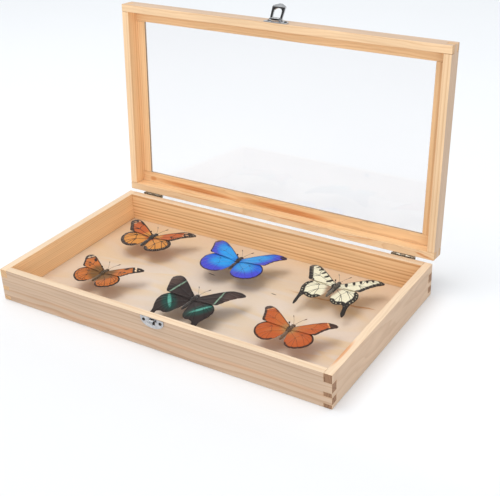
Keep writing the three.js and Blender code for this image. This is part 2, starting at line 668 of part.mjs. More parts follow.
function buildCase() {
  const rearHoles = caseHingeScrews.map((place) => pilotHole(place, 1));
  const frontHoles = catchScrews.map((place) => pilotHole(place, -1));
  const group = new THREE.Group();
  group.add(
    part('front_wall', longWall(-1, frontHoles), PINE),
    part('rear_wall', longWall(1, rearHoles), PINE),
    part('left_wall', sideWall(-1), PINE),
    part('right_wall', sideWall(1), PINE),
    part('bottom_panel', bottomPanel(), PLYWOOD),
    ...BUTTERFLIES.map(butterfly),
  );
  return group;
}

function buildLid() {
  const group = new THREE.Group();
  group.add(
    part('lid_front_rail', lidRail(-1, latchScrews.map((place) => pilotHole(place, -1))), PINE),
    part('lid_rear_rail', lidRail(1, lidHingeScrews.map((place) => pilotHole(place, 1))), PINE),
    part('lid_left_stile', lidStile(-1), PINE),
    part('lid_right_stile', lidStile(1), PINE),
    part('glass_pane', paneBox(0), GLASS),
  );
  group.position.set(0, HALF_WIDTH + HINGE_OFFSET, WALL_HEIGHT);
  group.rotation.x = -THREE.MathUtils.degToRad(OPEN_ANGLE);
  return group;
}

const displayCase = new THREE.Group();
const caseGroup = buildCase();
const lidGroup = buildLid();
addHinges(caseGroup, lidGroup);
addLatch(caseGroup, lidGroup);
displayCase.add(caseGroup, lidGroup);

export default displayCase;
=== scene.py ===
"""Looks of the insect display case: pine, plywood, glass, fittings and six pinned butterflies.

The CAD frame is in metres. The constants below are in millimetres, as in part.mjs, and
millimetres become metres where a mesh is made. +Z is up, +X runs along the case and -Y is
the front. The lid's own coordinates are those of the closed lid, with its hinge axis as X.
Colours are screen values from 0 to 255.
"""

import math
from collections.abc import Callable
from dataclasses import dataclass

import bmesh
import bpy
import numpy as np
from mathutils import Matrix, Vector
from mathutils.geometry import delaunay_2d_cdt


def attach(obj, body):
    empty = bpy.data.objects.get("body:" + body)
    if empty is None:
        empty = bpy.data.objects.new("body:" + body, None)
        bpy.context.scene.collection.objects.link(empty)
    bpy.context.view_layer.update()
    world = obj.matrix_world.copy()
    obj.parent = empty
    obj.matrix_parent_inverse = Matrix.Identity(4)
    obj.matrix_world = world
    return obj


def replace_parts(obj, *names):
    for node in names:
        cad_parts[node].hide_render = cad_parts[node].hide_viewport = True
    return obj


MM = 0.001

# ---- Dimensions shared with part.mjs ----

HINGE_AXIS = (0, 115, 37)
OPEN_ANGLE = math.radians(94)
HINGE_CENTRES = (-166, 166)
LATCH_X = 4

WING_LEVEL = 20
WING_LIFT = math.radians(6)
WING_MIDDLE = 0.35  # the middle of the CAD wing's thickness
HINDWING_DROP = 0.9
WING_ROOT = 0.66
PIN_TIP = 1.6
PIN_TOP = 29.4

# ---- Camera: fitted to the corners of the case in the photograph ----

AZIMUTH = math.radians(33.03)
ELEVATION = math.radians(28.18)
ROLL = math.radians(-2.42)
CAMERA_DISTANCE = 1002.09
AIM_HEIGHT = 50
AIM_RIGHT = 39.1
AIM_UP = 7.99
SENSOR_WIDTH = 36
FOCAL_LENGTH = 68.62


# ---- Shader helpers ----


class Value:
    """What a node gives. Sums, differences, products and shares of it are nodes in turn."""

    def __init__(self, shader, socket):
        self.shader = shader
        self.socket = socket

    def __add__(self, other):
        return self.shader.math("ADD", self, other)

    def __sub__(self, other):
        return self.shader.math("SUBTRACT", self, other)

    def __mul__(self, other):
        return self.shader.math("MULTIPLY", self, other)

    def __truediv__(self, other):
        return self.shader.math("DIVIDE", self, other)

    def __abs__(self):
        return self.shader.math("ABSOLUTE", self)


def srgb(color):
    """A colour given as 0-255 screen values, as the linear RGBA that sockets take."""
    if isinstance(color, Value):
        return color
    shares = [value / 255 for value in color]
    return (*[s / 12.92 if s <= 0.04045 else ((s + 0.055) / 1.055) ** 2.4 for s in shares], 1)


class Shader:
    """Adds nodes to a new material. Each method returns the value that its node gives."""

    def __init__(self, name):
        self.material = bpy.data.materials.new(name)
        self.material.use_nodes = True
        self.tree = self.material.node_tree
        self.surface = self.tree.nodes["Principled BSDF"]

    def feed(self, socket, value):
        if isinstance(value, Value):
            self.tree.links.new(value.socket, socket)
        else:
            socket.default_value = value

    def add(self, kind, inputs, output=0, **settings):
        node = self.tree.nodes.new("ShaderNode" + kind)
        for key, value in settings.items():
            setattr(node, key, value)
        for key, value in inputs.items():
            self.feed(node.inputs[key], value)
        return Value(self, node.outputs[output])

    def math(self, operation, first, second=0.0):
        return self.add("Math", {0: first, 1: second}, operation=operation)

    def mix(self, factor, first, second):
        inputs = {0: factor, 6: srgb(first), 7: srgb(second)}
        return self.add("Mix", inputs, output=2, data_type="RGBA")

    def brighten(self, color, amount):
        return self.add("HueSaturation", {"Value": amount, "Color": color})

    def ease(self, value, start, end, low=0.0, high=1.0):
        """A smooth step from low, at start, to high, at end."""
        inputs = {"Value": value, "From Min": start, "From Max": end, "To Min": low, "To Max": high}
        return self.add("MapRange", inputs, interpolation_type="SMOOTHSTEP")

    def noise(self, place, scale=1.0, detail=2.0, roughness=0.5, distortion=0.0):
        inputs = {"Vector": place, "Scale": scale, "Detail": detail}
        inputs |= {"Roughness": roughness, "Distortion": distortion}
        return self.add("TexNoise", inputs)

    def moved(self, place, offset=(0, 0, 0), turn=(0, 0, 0), scale=(1, 1, 1)):
        """The place scaled, then turned, then offset."""
        inputs = {"Vector": place, "Location": offset, "Rotation": turn, "Scale": scale}
        return self.add("Mapping", inputs)

    def split(self, vector):
        node = self.tree.nodes.new("ShaderNodeSeparateXYZ")
        self.feed(node.inputs[0], vector)
        return [Value(self, output) for output in node.outputs]

    def joined(self, x, y, z):
        return self.add("CombineXYZ", {0: x, 1: y, 2: z})

    def attribute(self, name, output):
        return self.add("Attribute", {}, output=output, attribute_name=name)

    def coordinates(self, kind):
        return self.add("TexCoord", {}, output=kind)

    def bump(self, height, strength, distance_mm):
        inputs = {"Height": height, "Strength": strength, "Distance": distance_mm * MM}
        self.feed(self.surface.inputs["Normal"], self.add("Bump", inputs))

    def finish(self, **sockets):
        """Sets the surface's sockets, named as in the Principled shader with _ for spaces."""
        for key, value in sockets.items():
            self.feed(self.surface.inputs[key.replace("_", " ")], value)
        return self.material


def in_case_mm(shader):
    """The point in millimetres, in the frame of the case."""
    return shader.moved(shader.coordinates("Object"), scale=(1000, 1000, 1000))


def in_lid_mm(shader):
    """The point in millimetres, in the frame of the closed lid."""
    offset = -(Matrix.Rotation(OPEN_ANGLE, 3, "X") @ Vector(HINGE_AXIS))
    turn = (OPEN_ANGLE, 0, 0)
    return shader.moved(shader.coordinates("Object"), offset, turn, (1000, 1000, 1000))


# ---- Wood ----


@dataclass
class Board:
    """How one pine board was sawn and what marks it carries.

    along is the axis of its grain, and out the sign of its outer face on the other level axis.
    pith is the middle of its growth rings in the two other axes in order, ring the width of a
    ring. A mark is an orange-brown streak or knot: its middle and half size along the grain
    and across it, how far it slants, and its strength. It lies on the level faces, where it is
    measured across the board, or on the outside, where it is measured in height.
    """

    along: str
    out: int
    pith: tuple
    ring: float = 2.6
    contrast: float = 0.5
    waver: float = 1.6
    # how bright the board is painted: partly its own tone, partly painted light that lifts a board lying
    # in shade
    shade: float = 1.0
    end_share: float = 0.95  # how dark its end grain is
    marks: tuple = ()
    marks_outside: bool = False
    # painted shade: dark places painted on the wood where a recess lies in shade
    grime: tuple = ()  # dark places, given like the marks


# Early and late wood: greyer on the sanded outside, palest on the planed edges, and warm inside.
OUTER_PINE = ((205, 177, 151), (172, 134, 104))
EDGE_PINE = ((230, 204, 174), (206, 166, 126))
INNER_PINE = ((242, 202, 154), (190, 128, 74))
LID_RIM_PINE = ((240, 205, 164), (200, 148, 98))
END_GRAIN = ((154, 116, 88), (112, 78, 56))
MARK_COLOR = (212, 138, 76)
MARK_CORE = (178, 102, 52)
# painted shade, for the recess behind the catch's hook
PAINTED_SHADE_COLOR = (34, 30, 27)
FLANGE_LEVEL = 10  # the lid's flanges, which hold the glass, start above this
LID_OUTER_LEVEL = 17  # the lid's face round the glass, when closed, is above this

CASE_BOARDS = {
    "front_wall": Board(
        "x", -1, (-122, 2), ring=3.5, contrast=0.55, waver=0.8, marks_outside=True,
        marks=((30, 13.5, 260, 2.6, 0.0, 0.26), (-60, 5, 120, 3.6, 0.0, 0.2)),
        # painted shade in the recess behind the catch's hook, where the plate's window shows the wood
        grime=((LATCH_X, 31.9, 4.2, 3.4, 0.0, 1.0),),
    ),
    "rear_wall": Board("x", 1, (95, 92), ring=4.4, contrast=0.8, waver=0.35, shade=1.02),
    "left_wall": Board(
        "y", -1, (-150, 90), ring=1.9, contrast=0.4, waver=0.8, shade=1.07, end_share=0.4
    ),
    "right_wall": Board(
        "y", 1, (150, 30), ring=3.2, contrast=0.3, waver=2.4, shade=1.05,
        marks=((-78, 192.4, 24, 2.8, 0.02, 0.85),),
    ),
}
REAR_RAIL_MARKS = (
    (-176, -15, 5, 3.0, 0.0, 0.9),
    (-112, -13.4, 64, 4.0, 0.03, 1.0),
    (14, -13.4, 68, 4.6, 0.02, 1.0),
    (114, -8.4, 40, 0.6, -0.075, 0.6),
    (189, -5, 12, 1.5, 0.25, 0.9),
)
LID_END_SHARE = 0.4
LID_BOARDS = {
    "lid_front_rail": Board(
        "x", -1, (-300, -40), ring=2.8, contrast=0.4, shade=1.04, end_share=LID_END_SHARE
    ),
    "lid_rear_rail": Board(
        "x", 1, (30, 60), ring=3.6, contrast=0.35, waver=2.4, end_share=LID_END_SHARE,
        marks=REAR_RAIL_MARKS,
    ),
    # painted light: the left stile is painted brighter because its inner face lies in shade
    "lid_left_stile": Board(
        "y", -1, (-240, 60), ring=2.2, contrast=0.35, shade=1.1, end_share=LID_END_SHARE
    ),
    "lid_right_stile": Board(
        "y", 1, (150, 60), ring=2.7, contrast=0.4, end_share=LID_END_SHARE,
        marks=((-95, 189, 100, 2.6, 0.02, 0.85),),
    ),
}
FIBRE_TONES = (0.96, 1.035)  # brightness between and along the fibres


def board_axes(shader, vector, board):
    """A place or a normal as (along the grain, level across it, up)."""
    x, y, z = shader.split(vector)
    return (x, y, z) if board.along == "x" else (y, x, z)


def ellipse_mark(shader, length, across, mark, wander):
    """1 in the middle of a streak, and 0 outside it, with an edge that wanders."""
    middle, level, half_length, half_width, slant, strength = mark
    run = length - middle
    run_share = run / half_length
    rise_share = (across - level - run * slant + wander) / half_width
    squares = run_share * run_share + rise_share * rise_share
    return shader.ease(squares, 0.15, 1.3, strength, 0.0)


def growth_rings(shader, length, across, height, board):
    """Late wood lines, from 0 to 1, of rings round the board's pith."""
    slow = shader.joined(length * 0.009, across * 0.035, height * 0.035)
    drift = shader.noise(slow, detail=3) * (2 * board.waver * board.ring)
    side = across - board.pith[0] + drift
    rise = height - board.pith[1] + drift
    count = shader.math("SQRT", side * side + rise * rise) / board.ring
    count = count + shader.noise(shader.joined(count * 0.45, 0.0, 0.0), detail=1) * 1.6
    phase = shader.math("FRACT", count)
    line = shader.ease(phase, 0.3, 0.88) * shader.ease(phase, 1.0, 0.9)
    ring_number = shader.joined(shader.math("FLOOR", count), 3.7, 0.0)
    strength = shader.noise(ring_number, scale=0.83, detail=0)
    return line * shader.ease(strength, 0.3, 0.68, 0.25, 1.0)


def pine(name, board, on_lid):
    """Planed pine: growth rings, fibres, slow changes of tone, streaks, and darker end grain."""
    shader = Shader("pine_" + name)
    place = in_lid_mm(shader) if on_lid else in_case_mm(shader)
    normal = shader.coordinates("Normal")
    if on_lid:
        normal = shader.moved(normal, turn=(OPEN_ANGLE, 0, 0))
    length, across, height = board_axes(shader, place, board)
    end_normal, level_normal, up_normal = board_axes(shader, normal, board)
    rings = growth_rings(shader, length, across, height, board)
    late_wood = rings * board.contrast
    fibre_place = shader.joined(length * 0.02, across * 0.8, height * 0.8)
    fibres = shader.noise(fibre_place, detail=4, roughness=0.65)
    tone = shader.noise(shader.joined(length * 0.011, across * 0.09, height * 0.09))

    outside = shader.ease(level_normal * board.out, 0.5, 0.9)
    level_face = shader.ease(abs(up_normal), 0.5, 0.9)
    edge_face = level_face
    edge_pine = EDGE_PINE
    if on_lid:
        edge_face = level_face * shader.ease(height, FLANGE_LEVEL, FLANGE_LEVEL - 2)
        edge_pine = LID_RIM_PINE
        top = shader.ease(height, LID_OUTER_LEVEL - 1, LID_OUTER_LEVEL)
        outside = shader.math("MAXIMUM", outside, top)
    color = shader.mix(late_wood, *INNER_PINE)
    color = shader.mix(edge_face, color, shader.mix(late_wood, *edge_pine))
    color = shader.mix(outside, color, shader.mix(late_wood, *OUTER_PINE))

    wander = (shader.noise(fibre_place, scale=0.7) - 0.5) * 3.2
    level, marked_face = (height, outside) if board.marks_outside else (across, level_face)
    for mark in board.marks:
        streak = ellipse_mark(shader, length, level, mark, wander) * marked_face
        color = shader.mix(streak * 0.75, color, MARK_COLOR)
        core = shader.math("POWER", streak, 4.0) * shader.ease(fibres, 0.4, 0.6)
        color = shader.mix(core * 0.5, color, MARK_CORE)
    # painted shade, darkening the wood in recesses such as the one behind the catch's hook
    for painted_shade_place in board.grime:
        color = shader.mix(ellipse_mark(shader, length, level, painted_shade_place, 0.0), color, PAINTED_SHADE_COLOR)

    end_face = shader.ease(abs(end_normal), 0.6, 0.95) * board.end_share
    pores = shader.ease(shader.noise(place, scale=3.0), 0.3, 0.7, 0.0, 0.5)
    end_grain = shader.mix(shader.math("MAXIMUM", rings, pores), *END_GRAIN)
    color = shader.mix(end_face, color, end_grain)
    color = shader.brighten(color, shader.ease(fibres, 0.25, 0.75, *FIBRE_TONES))
    color = shader.brighten(color, shader.ease(tone, 0.2, 0.8, 0.94 * board.shade, 1.06 * board.shade))
    shader.bump(fibres + rings * 0.6, 0.35, 0.05)
    roughness = shader.ease(fibres, 0.2, 0.8, 0.5, 0.66)
    return shader.finish(Base_Color=color, Roughness=roughness, Specular_IOR_Level=0.3)


PLY_PALE = (224, 207, 191)
PLY_YELLOW = (226, 200, 165)
# painted light: warm bounce light and shade from the walls, on the floor
PLY_PAINTED_BOUNCE = (216, 180, 136)  # towards the rear and the left
PLY_BROWN = (194, 142, 98)
PLY_EDGE = (190, 150, 112)
PLY_SPLIT = (60, 42, 30)
# streaks on the floor: middle, level, half length, half width, slant, strength
FLOOR_STREAKS = [
    (112, 44.5, 48, 1.5, 0.05, 0.75),
    (94, 42, 9, 0.9, 0.04, 0.9),
    (151, 48.6, 15, 1.3, 0.12, 0.95),
]
FLOOR_SPLITS = [(-26, 32.3, 5.4, 0.75, -0.12, 1.0), (56.5, 28, 3.8, 0.7, -0.1, 1.0)]


def plywood():
    """Rotary-cut plywood: a pale veneer with slow yellow figure, small splits and a streak."""
    shader = Shader("plywood")
    place = in_case_mm(shader)
    x, y, z = shader.split(place)
    slow = shader.joined(x * 0.0045, y * 0.015, 0.0)
    height = shader.noise(slow, detail=3, distortion=0.8)
    bands = shader.math("FRACT", height * 7.0)
    figure = shader.ease(bands, 0.0, 0.5) * shader.ease(bands, 0.75, 0.5)
    patches = shader.ease(shader.noise(slow, scale=1.7, detail=1), 0.4, 0.65, 0.25, 0.9)
    color = shader.mix(figure * patches, PLY_PALE, PLY_YELLOW)
    # painted light: warmer and darker towards the rear and the left, standing in for warm light bounced
    # from the walls and the shade beside them
    color = shader.mix(shader.ease(y, -20, 105, 0.0, 0.5), color, PLY_PAINTED_BOUNCE)
    color = shader.mix(shader.ease(x, -60, -190, 0.0, 0.35), color, PLY_PAINTED_BOUNCE)

    fibre_place = shader.joined(x * 0.12, y * 2.4, z)
    fibres = shader.noise(fibre_place, detail=4, roughness=0.7)
    wander = (shader.noise(place, scale=0.08) - 0.5) * 5.0
    for streak in FLOOR_STREAKS:
        color = shader.mix(ellipse_mark(shader, x, y, streak, wander), color, PLY_BROWN)
    for split in FLOOR_SPLITS:
        color = shader.mix(ellipse_mark(shader, x, y, split, 0.0), color, PLY_SPLIT)

    up_normal = shader.split(shader.coordinates("Normal"))[2]
    rim = shader.ease(abs(up_normal), 0.9, 0.4)
    color = shader.mix(rim * 0.8, color, PLY_EDGE)
    color = shader.brighten(color, shader.ease(fibres, 0.25, 0.75, *FIBRE_TONES))
    shader.bump(fibres, 0.3, 0.08)
    return shader.finish(Base_Color=color, Roughness=0.58, Specular_IOR_Level=0.3)


# ---- Glass and metal ----


def clear_glass():
    """Window glass with a faint grey tint and a trace of dust."""
    shader = Shader("clear_glass")
    dust = shader.noise(in_case_mm(shader), scale=0.03, detail=3)
    roughness = shader.ease(dust, 0.45, 0.8, 0.0, 0.01)
    clear = srgb((249, 248, 248))
    return shader.finish(Base_Color=clear, Roughness=roughness, IOR=1.45, Transmission_Weight=1.0)


def metal(name, bright, dull, polish, patch_scale):
    """Plated steel: two tones in soft patches with fine scratches."""
    shader = Shader(name)
    place = in_case_mm(shader)
    patches = shader.noise(place, scale=patch_scale, detail=3)
    scratches = shader.noise(shader.moved(place, scale=(0.4, 9, 9)))
    color = shader.mix(shader.ease(patches, 0.35, 0.65), bright, dull)
    roughness = shader.ease(scratches, 0.3, 0.7, polish, polish + 0.14)
    shader.bump(scratches, 0.15, 0.03)
    return shader.finish(Base_Color=color, Roughness=roughness, Metallic=1.0)


# ---- Screws ----

HEAD_RADIUS = 1.7
HEAD_HEIGHT = 0.9
SHANK_RADIUS = 0.8
SHANK_LENGTH = 5
SHANK_TAPER = 1.4
SLOT_ARM = 1.05
SLOT_WIDTH = 0.36
SLOT_DEPTH = 0.55
CUTTER_HEIGHT = 1
SCREW_SEGMENTS = 40


def add_object(name, data):
    thing = bpy.data.objects.new(name, data)
    bpy.context.scene.collection.objects.link(thing)
    return thing


def mesh_object(name, mesh, material):
    mesh.materials.append(material)
    return add_object(name, mesh)


def circle(radius, sides):
    """The corners of a level ring."""
    turns = [2 * math.pi * number / sides for number in range(sides)]
    return [Vector((radius * math.cos(turn), radius * math.sin(turn), 0)) for turn in turns]


def skin(bm, rings):
    """Faces between closed rings of corners, and over the first ring and the last."""
    for low, high in zip(rings, rings[1:]):
        for number in range(len(low)):
            after = (number + 1) % len(low)
            bm.faces.new((low[number], low[after], high[after], high[number]))
    bm.faces.new(list(reversed(rings[0])))
    bm.faces.new(rings[-1])


def lathe(profile, sides):
    """A bmesh turned round Z from (radius, height) points in millimetres, closed at both ends."""
    bm = bmesh.new()
    rings = []
    for radius, height in profile:
        middle = Vector((0, 0, height))
        rings.append([bm.verts.new(middle + corner) for corner in circle(radius, sides)])
    skin(bm, rings)
    return bm


def block(size, middle):
    bm = bmesh.new()
    place = Matrix.Translation(middle) @ Matrix.Diagonal((*size, 1))
    bmesh.ops.create_cube(bm, size=1, matrix=place)
    return bm


def as_mesh(bm, name, scale=MM):
    bmesh.ops.scale(bm, vec=(scale, scale, scale), verts=bm.verts)
    mesh = bpy.data.meshes.new(name)
    bm.to_mesh(mesh)
    bm.free()
    return mesh


def cross_head_screw():
    """The mesh of a domed screw with a cross recess, its axis Z and its seat at z = 0."""
    shank = [(0.12, -SHANK_LENGTH), (SHANK_RADIUS, SHANK_TAPER - SHANK_LENGTH)]
    profile = [*shank, (SHANK_RADIUS, 0)]
    for turn in np.radians(np.arange(0, 88, 12)):
        profile.append((HEAD_RADIUS * math.cos(turn), HEAD_HEIGHT * math.sin(turn)))
    screw = add_object("screw", as_mesh(lathe(profile, SCREW_SEGMENTS), "screw"))
    pieces = [screw]
    for arm in ((SLOT_ARM * 2, SLOT_WIDTH), (SLOT_WIDTH, SLOT_ARM * 2)):
        middle = (0, 0, HEAD_HEIGHT + CUTTER_HEIGHT / 2 - SLOT_DEPTH)
        cutter = add_object("slot", as_mesh(block((*arm, CUTTER_HEIGHT), middle), "slot"))
        pieces.append(cutter)
        cut = screw.modifiers.new("recess", "BOOLEAN")
        cut.object = cutter
        cut.operation = "DIFFERENCE"
        cut.solver = "EXACT"
    cut_screw = screw.evaluated_get(bpy.context.evaluated_depsgraph_get())
    mesh = bpy.data.meshes.new_from_object(cut_screw)
    for piece in pieces:
        bpy.data.objects.remove(piece)
    mesh.set_sharp_from_angle(angle=math.radians(35))
    return mesh


LID_OPEN = Matrix.Rotation(-OPEN_ANGLE, 4, "X")
REARWARD = Matrix.Rotation(-math.pi / 2, 4, "X")  # from up
FORWARD = REARWARD.inverted()
LEAF_SCREW_SPREAD = 8
PLATE_SCREW_SPREAD = 10
# y and z of the screws' seats, on the lid those of the closed lid from its hinge axis
LEAF_SEAT = (-0.8, 7)
CASE_LEAF_SEAT = (HINGE_AXIS[1] + LEAF_SEAT[0], HINGE_AXIS[2] - LEAF_SEAT[1])
CATCH_SEAT = (-114, 33.2)
LATCH_SEAT = (-229.2, 5.9)


def add_screws(hinge_steel, plated_steel):
    mesh = cross_head_screw()
    hinge_places = [x + side * LEAF_SCREW_SPREAD for x in HINGE_CENTRES for side in (-1, 1)]
    plate_places = [LATCH_X - PLATE_SCREW_SPREAD, LATCH_X + PLATE_SCREW_SPREAD]
    rows = (
        ("case_hinge_screw", "case", hinge_places, CASE_LEAF_SEAT, REARWARD, hinge_steel, 0.0, 0.4),
        ("lid_hinge_screw", "lid", hinge_places, LEAF_SEAT, REARWARD, hinge_steel, 0.3, 0.5),
        ("catch_screw", "case", plate_places, CATCH_SEAT, FORWARD, plated_steel, 0.0, 0.7),
        ("latch_screw", "lid", plate_places, LATCH_SEAT, FORWARD, plated_steel, 0.2, 0.9),
    )
    for name, body, places, (y, z), facing, steel, first_turn, next_turn in rows:
        for number, x in enumerate(places):
            node = f"{name}_{number + 1}"
            seat = Vector((x, y, z))
            turn = facing @ Matrix.Rotation(first_turn + next_turn * number, 4, "Z")
            if body == "lid":
                seat = LID_OPEN @ seat + Vector(HINGE_AXIS)
                turn = LID_OPEN @ turn
            piece = mesh_object(node + "_head", mesh.copy(), steel)
            piece.data.transform(Matrix.Translation(seat * MM) @ turn)
            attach(piece, body)
            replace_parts(piece, node)


# ---- Butterflies: wings ----


FORE_MARGIN = (4.6, 10.2)
FORE_VEINS = ((3.4, 4.4, 5.3, 6.3, 7.2), (8.1, 8.9, 9.6))
HIND_MARGIN = (2.6, 9.6)
HIND_VEINS = ((2.7, 4, 5, 6), (6.9, 7.8, 8.8))


@dataclass
class Wing:
    """Half of a pair of wings, seen from above in millimetres.

    points is its outline as in part.mjs, x away from the body and y towards the head. cell is
    the upper and the lower far corner of its cell. margin is where its outer margin starts and
    ends, and veins where the veins from these two corners end, as places in the outline.
    """

    points: list
    cell: tuple
    margin: tuple = FORE_MARGIN
    veins: tuple = FORE_VEINS


WING_GRID = 0.62  # spacing of the corners in a wing's mesh
GRID_ROW = WING_GRID * 0.87
GRID_CLEARANCE = WING_GRID * 0.45  # from the outline and the veins
VEIN_CLEARANCE = WING_GRID * 0.3  # from the outline to a vein's corners
RIM_SPACING = 0.8
WING_SHEET = 0.16
VEIN_SPACING = 0.7
VEIN_RISE = 0.1
VEIN_REACH = 0.7
RIPPLE_DEPTH = 0.22  # of the sheet between the veins
RIPPLE_REACH = 2.5
CAMBER = 0.9
DROOP = 0.012  # of the tips, for each square millimetre beyond DROOP_START of the reach
DROOP_START = 0.75
RAY_SPREAD = 30  # makes the rows of scales fine across the rays


def catmull_rom(points, place):
    """The point at this place, counted in points, of the smooth closed curve through them."""
    count = len(points)
    index = int(math.floor(place)) % count
    share = place - math.floor(place)
    p0, p1, p2, p3 = (np.array(points[(index + step) % count], float) for step in (-1, 0, 1, 2))
    d0, d1, d2 = (math.sqrt(np.linalg.norm(b - a)) for a, b in ((p0, p1), (p1, p2), (p2, p3)))
    t1 = ((p1 - p0) / d0 - (p2 - p0) / (d0 + d1) + (p2 - p1) / d1) * d1
    t2 = ((p2 - p1) / d1 - (p3 - p1) / (d1 + d2) + (p3 - p2) / d2) * d1
    c2 = -3 * p1 + 3 * p2 - 2 * t1 - t2
    c3 = 2 * p1 - 2 * p2 + t1 + t2
    return p1 + t1 * share + c2 * share**2 + c3 * share**3


def evenly(points, start, end, spacing):
    """Points about this far apart on the closed curve from one place to another."""
    places = np.linspace(start, end, int((end - start) * 24) + 2)
    fine = np.array([catmull_rom(points, place) for place in places])
    travelled = np.concatenate([[0], np.cumsum(np.linalg.norm(np.diff(fine, axis=0), axis=1))])
    stops = np.linspace(0, travelled[-1], max(2, int(travelled[-1] / spacing) + 1))
    return np.column_stack([np.interp(stops, travelled, fine[:, axis]) for axis in (0, 1)])


def bow(start, end, sag):
    """Points on a slightly bowed line, which is how a vein runs."""
    start, end = np.array(start, float), np.array(end, float)
    run = end - start
    shares = np.linspace(0, 1, max(3, int(np.linalg.norm(run) / VEIN_SPACING)))[:, None]
    side = np.array([-run[1], run[0]])
    return start + run * shares + side * sag * np.sin(math.pi * shares)


def vein_lines(wing):
    """The veins of a wing: the cell's two sides and end, and the branches to the margin."""
    root = np.array(wing.points[0]) * (1, 0.5)
    upper, lower = wing.cell
    lines = [bow(root, upper, 0.04), bow(root, lower, -0.04), bow(upper, lower, 0.12)]
    for corner, ends in zip(wing.cell, wing.veins):
        for end in ends:
            lines.append(bow(corner, catmull_rom(wing.points, end), 0.03))
    anal_end = catmull_rom(wing.points, wing.margin[1] + 0.2)
    lines.append(bow(root, anal_end, -0.05))
    return lines


def distance_to_lines(places, lines):
    """Shortest distance from each place to any of the lines."""
    best = np.full(len(places), 1e9)
    for line in lines:
        for start, end in zip(line, line[1:]):
            run = end - start
            share = np.clip(((places - start) @ run) / max(run @ run, 1e-12), 0, 1)
            best = np.minimum(best, np.linalg.norm(places - start - share[:, None] * run, axis=1))
    return best


def inside(places, outline):
    """True for the places inside a closed outline."""
    x, y = places[:, 0], places[:, 1]
    found = np.zeros(len(places), bool)
    for (x0, y0), (x1, y1) in zip(outline, np.roll(outline, -1, axis=0)):
        crosses = (y0 > y) != (y1 > y)
        with np.errstate(divide="ignore", invalid="ignore"):
            found ^= crosses & (x < (x1 - x0) * (y - y0) / (y1 - y0) + x0)
    return found


def triangulated(wing):
    """Corners, triangles and veins of a flat wing, dense enough to carry its pattern."""
    outline = evenly(wing.points, 0, len(wing.points), WING_GRID)[:-1]
    border = [np.vstack([outline, outline[:1]])]
    veins = vein_lines(wing)
    low, high = outline.min(0), outline.max(0)
    xs = np.arange(low[0], high[0], WING_GRID)
    ys = np.arange(low[1], high[1], GRID_ROW)
    grid = np.array([(x + WING_GRID / 2 * (row % 2), y) for row, y in enumerate(ys) for x in xs])
    clear = distance_to_lines(grid, border) > GRID_CLEARANCE
    clear &= distance_to_lines(grid, veins) > GRID_CLEARANCE
    grid = grid[clear & inside(grid, outline)]
    vein_points = np.vstack(veins)
    near_rim = distance_to_lines(vein_points, border) < VEIN_CLEARANCE
    vein_points = vein_points[~near_rim & inside(vein_points, outline)]
    corners = [Vector(point) for point in np.vstack([outline, vein_points, grid])]
    edges = [(number, (number + 1) % len(outline)) for number in range(len(outline))]
    corners, _, triangles, *_ = delaunay_2d_cdt(corners, edges, [], 1, 1e-5)
    return np.array([tuple(corner) for corner in corners]), np.array(triangles), veins


# ---- Butterflies: patterns ----
# A pattern is a list of layers painted over the ground colour in turn. A layer is a colour,
# the softness of its edge in millimetres, and a field that is negative where it is painted.


def all_of(*fields):
    return np.maximum.reduce(fields)


def any_of(*fields):
    return np.minimum.reduce(fields)


class Surface:
    """A wing's places and the distances that patterns are made of."""

    def __init__(self, wing, places, veins, kind):
        self.kind = kind
        self.places = places
        self.wing = wing
        start, end = wing.margin
        self.vein = distance_to_lines(places, veins)
        self.outer = distance_to_lines(places, [evenly(wing.points, start, end, RIM_SPACING)])
        self.costa = distance_to_lines(places, [evenly(wing.points, 0, start, RIM_SPACING)])
        self.root = np.linalg.norm(places - np.array([0, 1.0]), axis=1)

    def oval(self, middle, half_size, angle=0.0):
        """About the distance to an oval, negative inside it."""
        turn = math.radians(angle)
        run = self.places - np.array(middle, float)
        u = run[:, 0] * math.cos(turn) + run[:, 1] * math.sin(turn)
        v = -run[:, 0] * math.sin(turn) + run[:, 1] * math.cos(turn)
        reach = np.sqrt((u / half_size[0]) ** 2 + (v / half_size[1]) ** 2)
        return (reach - 1) * min(half_size)

    def ovals(self, *ovals):
        """The distance to the nearest oval, each (x, y, half length, half width, angle)."""
        return any_of(*(self.oval((x, y), (u, v), angle) for x, y, u, v, angle in ovals))

    def beyond(self, point, angle):
        """Distance to a straight edge through point, negative on the side that angle points to."""
        turn = math.radians(angle)
        return (np.array(point, float) - self.places) @ np.array([math.cos(turn), math.sin(turn)])

    def rim_spots(self, spacing, inset, radius):
        """A row of dots along the outer margin, this far inside it."""
        start, end = self.wing.margin
        stops = evenly(self.wing.points, start + 0.1, end - 0.1, spacing)
        ahead = np.gradient(stops, axis=0)
        inward = np.column_stack([ahead[:, 1], -ahead[:, 0]])
        inward /= np.linalg.norm(inward, axis=1)[:, None]
        dots = stops + inward * inset
        return any_of(*(np.linalg.norm(self.places - dot, axis=1) - radius for dot in dots))


BLACK = (30, 22, 20)
NOWHERE = 50.0  # a field that no layer's edge reaches


def monarch_layers(s):
    if s.kind == "fore":
        apex = s.beyond((32.5, 19.5), 33)
        trailing = s.beyond((15, -0.6), -92)
        dark = any_of(s.outer - 4.0, s.costa - 1.1, apex, trailing)
        pale = s.ovals((34, 21.5, 2.8, 0.9, 35), (37.4, 18.2, 2.4, 0.9, 10), (35, 14.2, 1.8, 0.8, -20))
        warm = s.root - 12
    else:
        dark = s.outer - 3.8
        pale = NOWHERE
        warm = s.oval((16, -13), (15, 13))
    dots = any_of(s.rim_spots(2.6, 1.3, 0.3), s.rim_spots(2.6, 2.7, 0.36))
    return [
        ((210, 138, 62), 6.0, warm),
        (BLACK, 0.35, s.vein - 0.36),
        ((48, 32, 26), 0.8, dark),
        ((214, 160, 120), 0.5, pale),
        ((206, 186, 164), 0.3, dots),
    ]


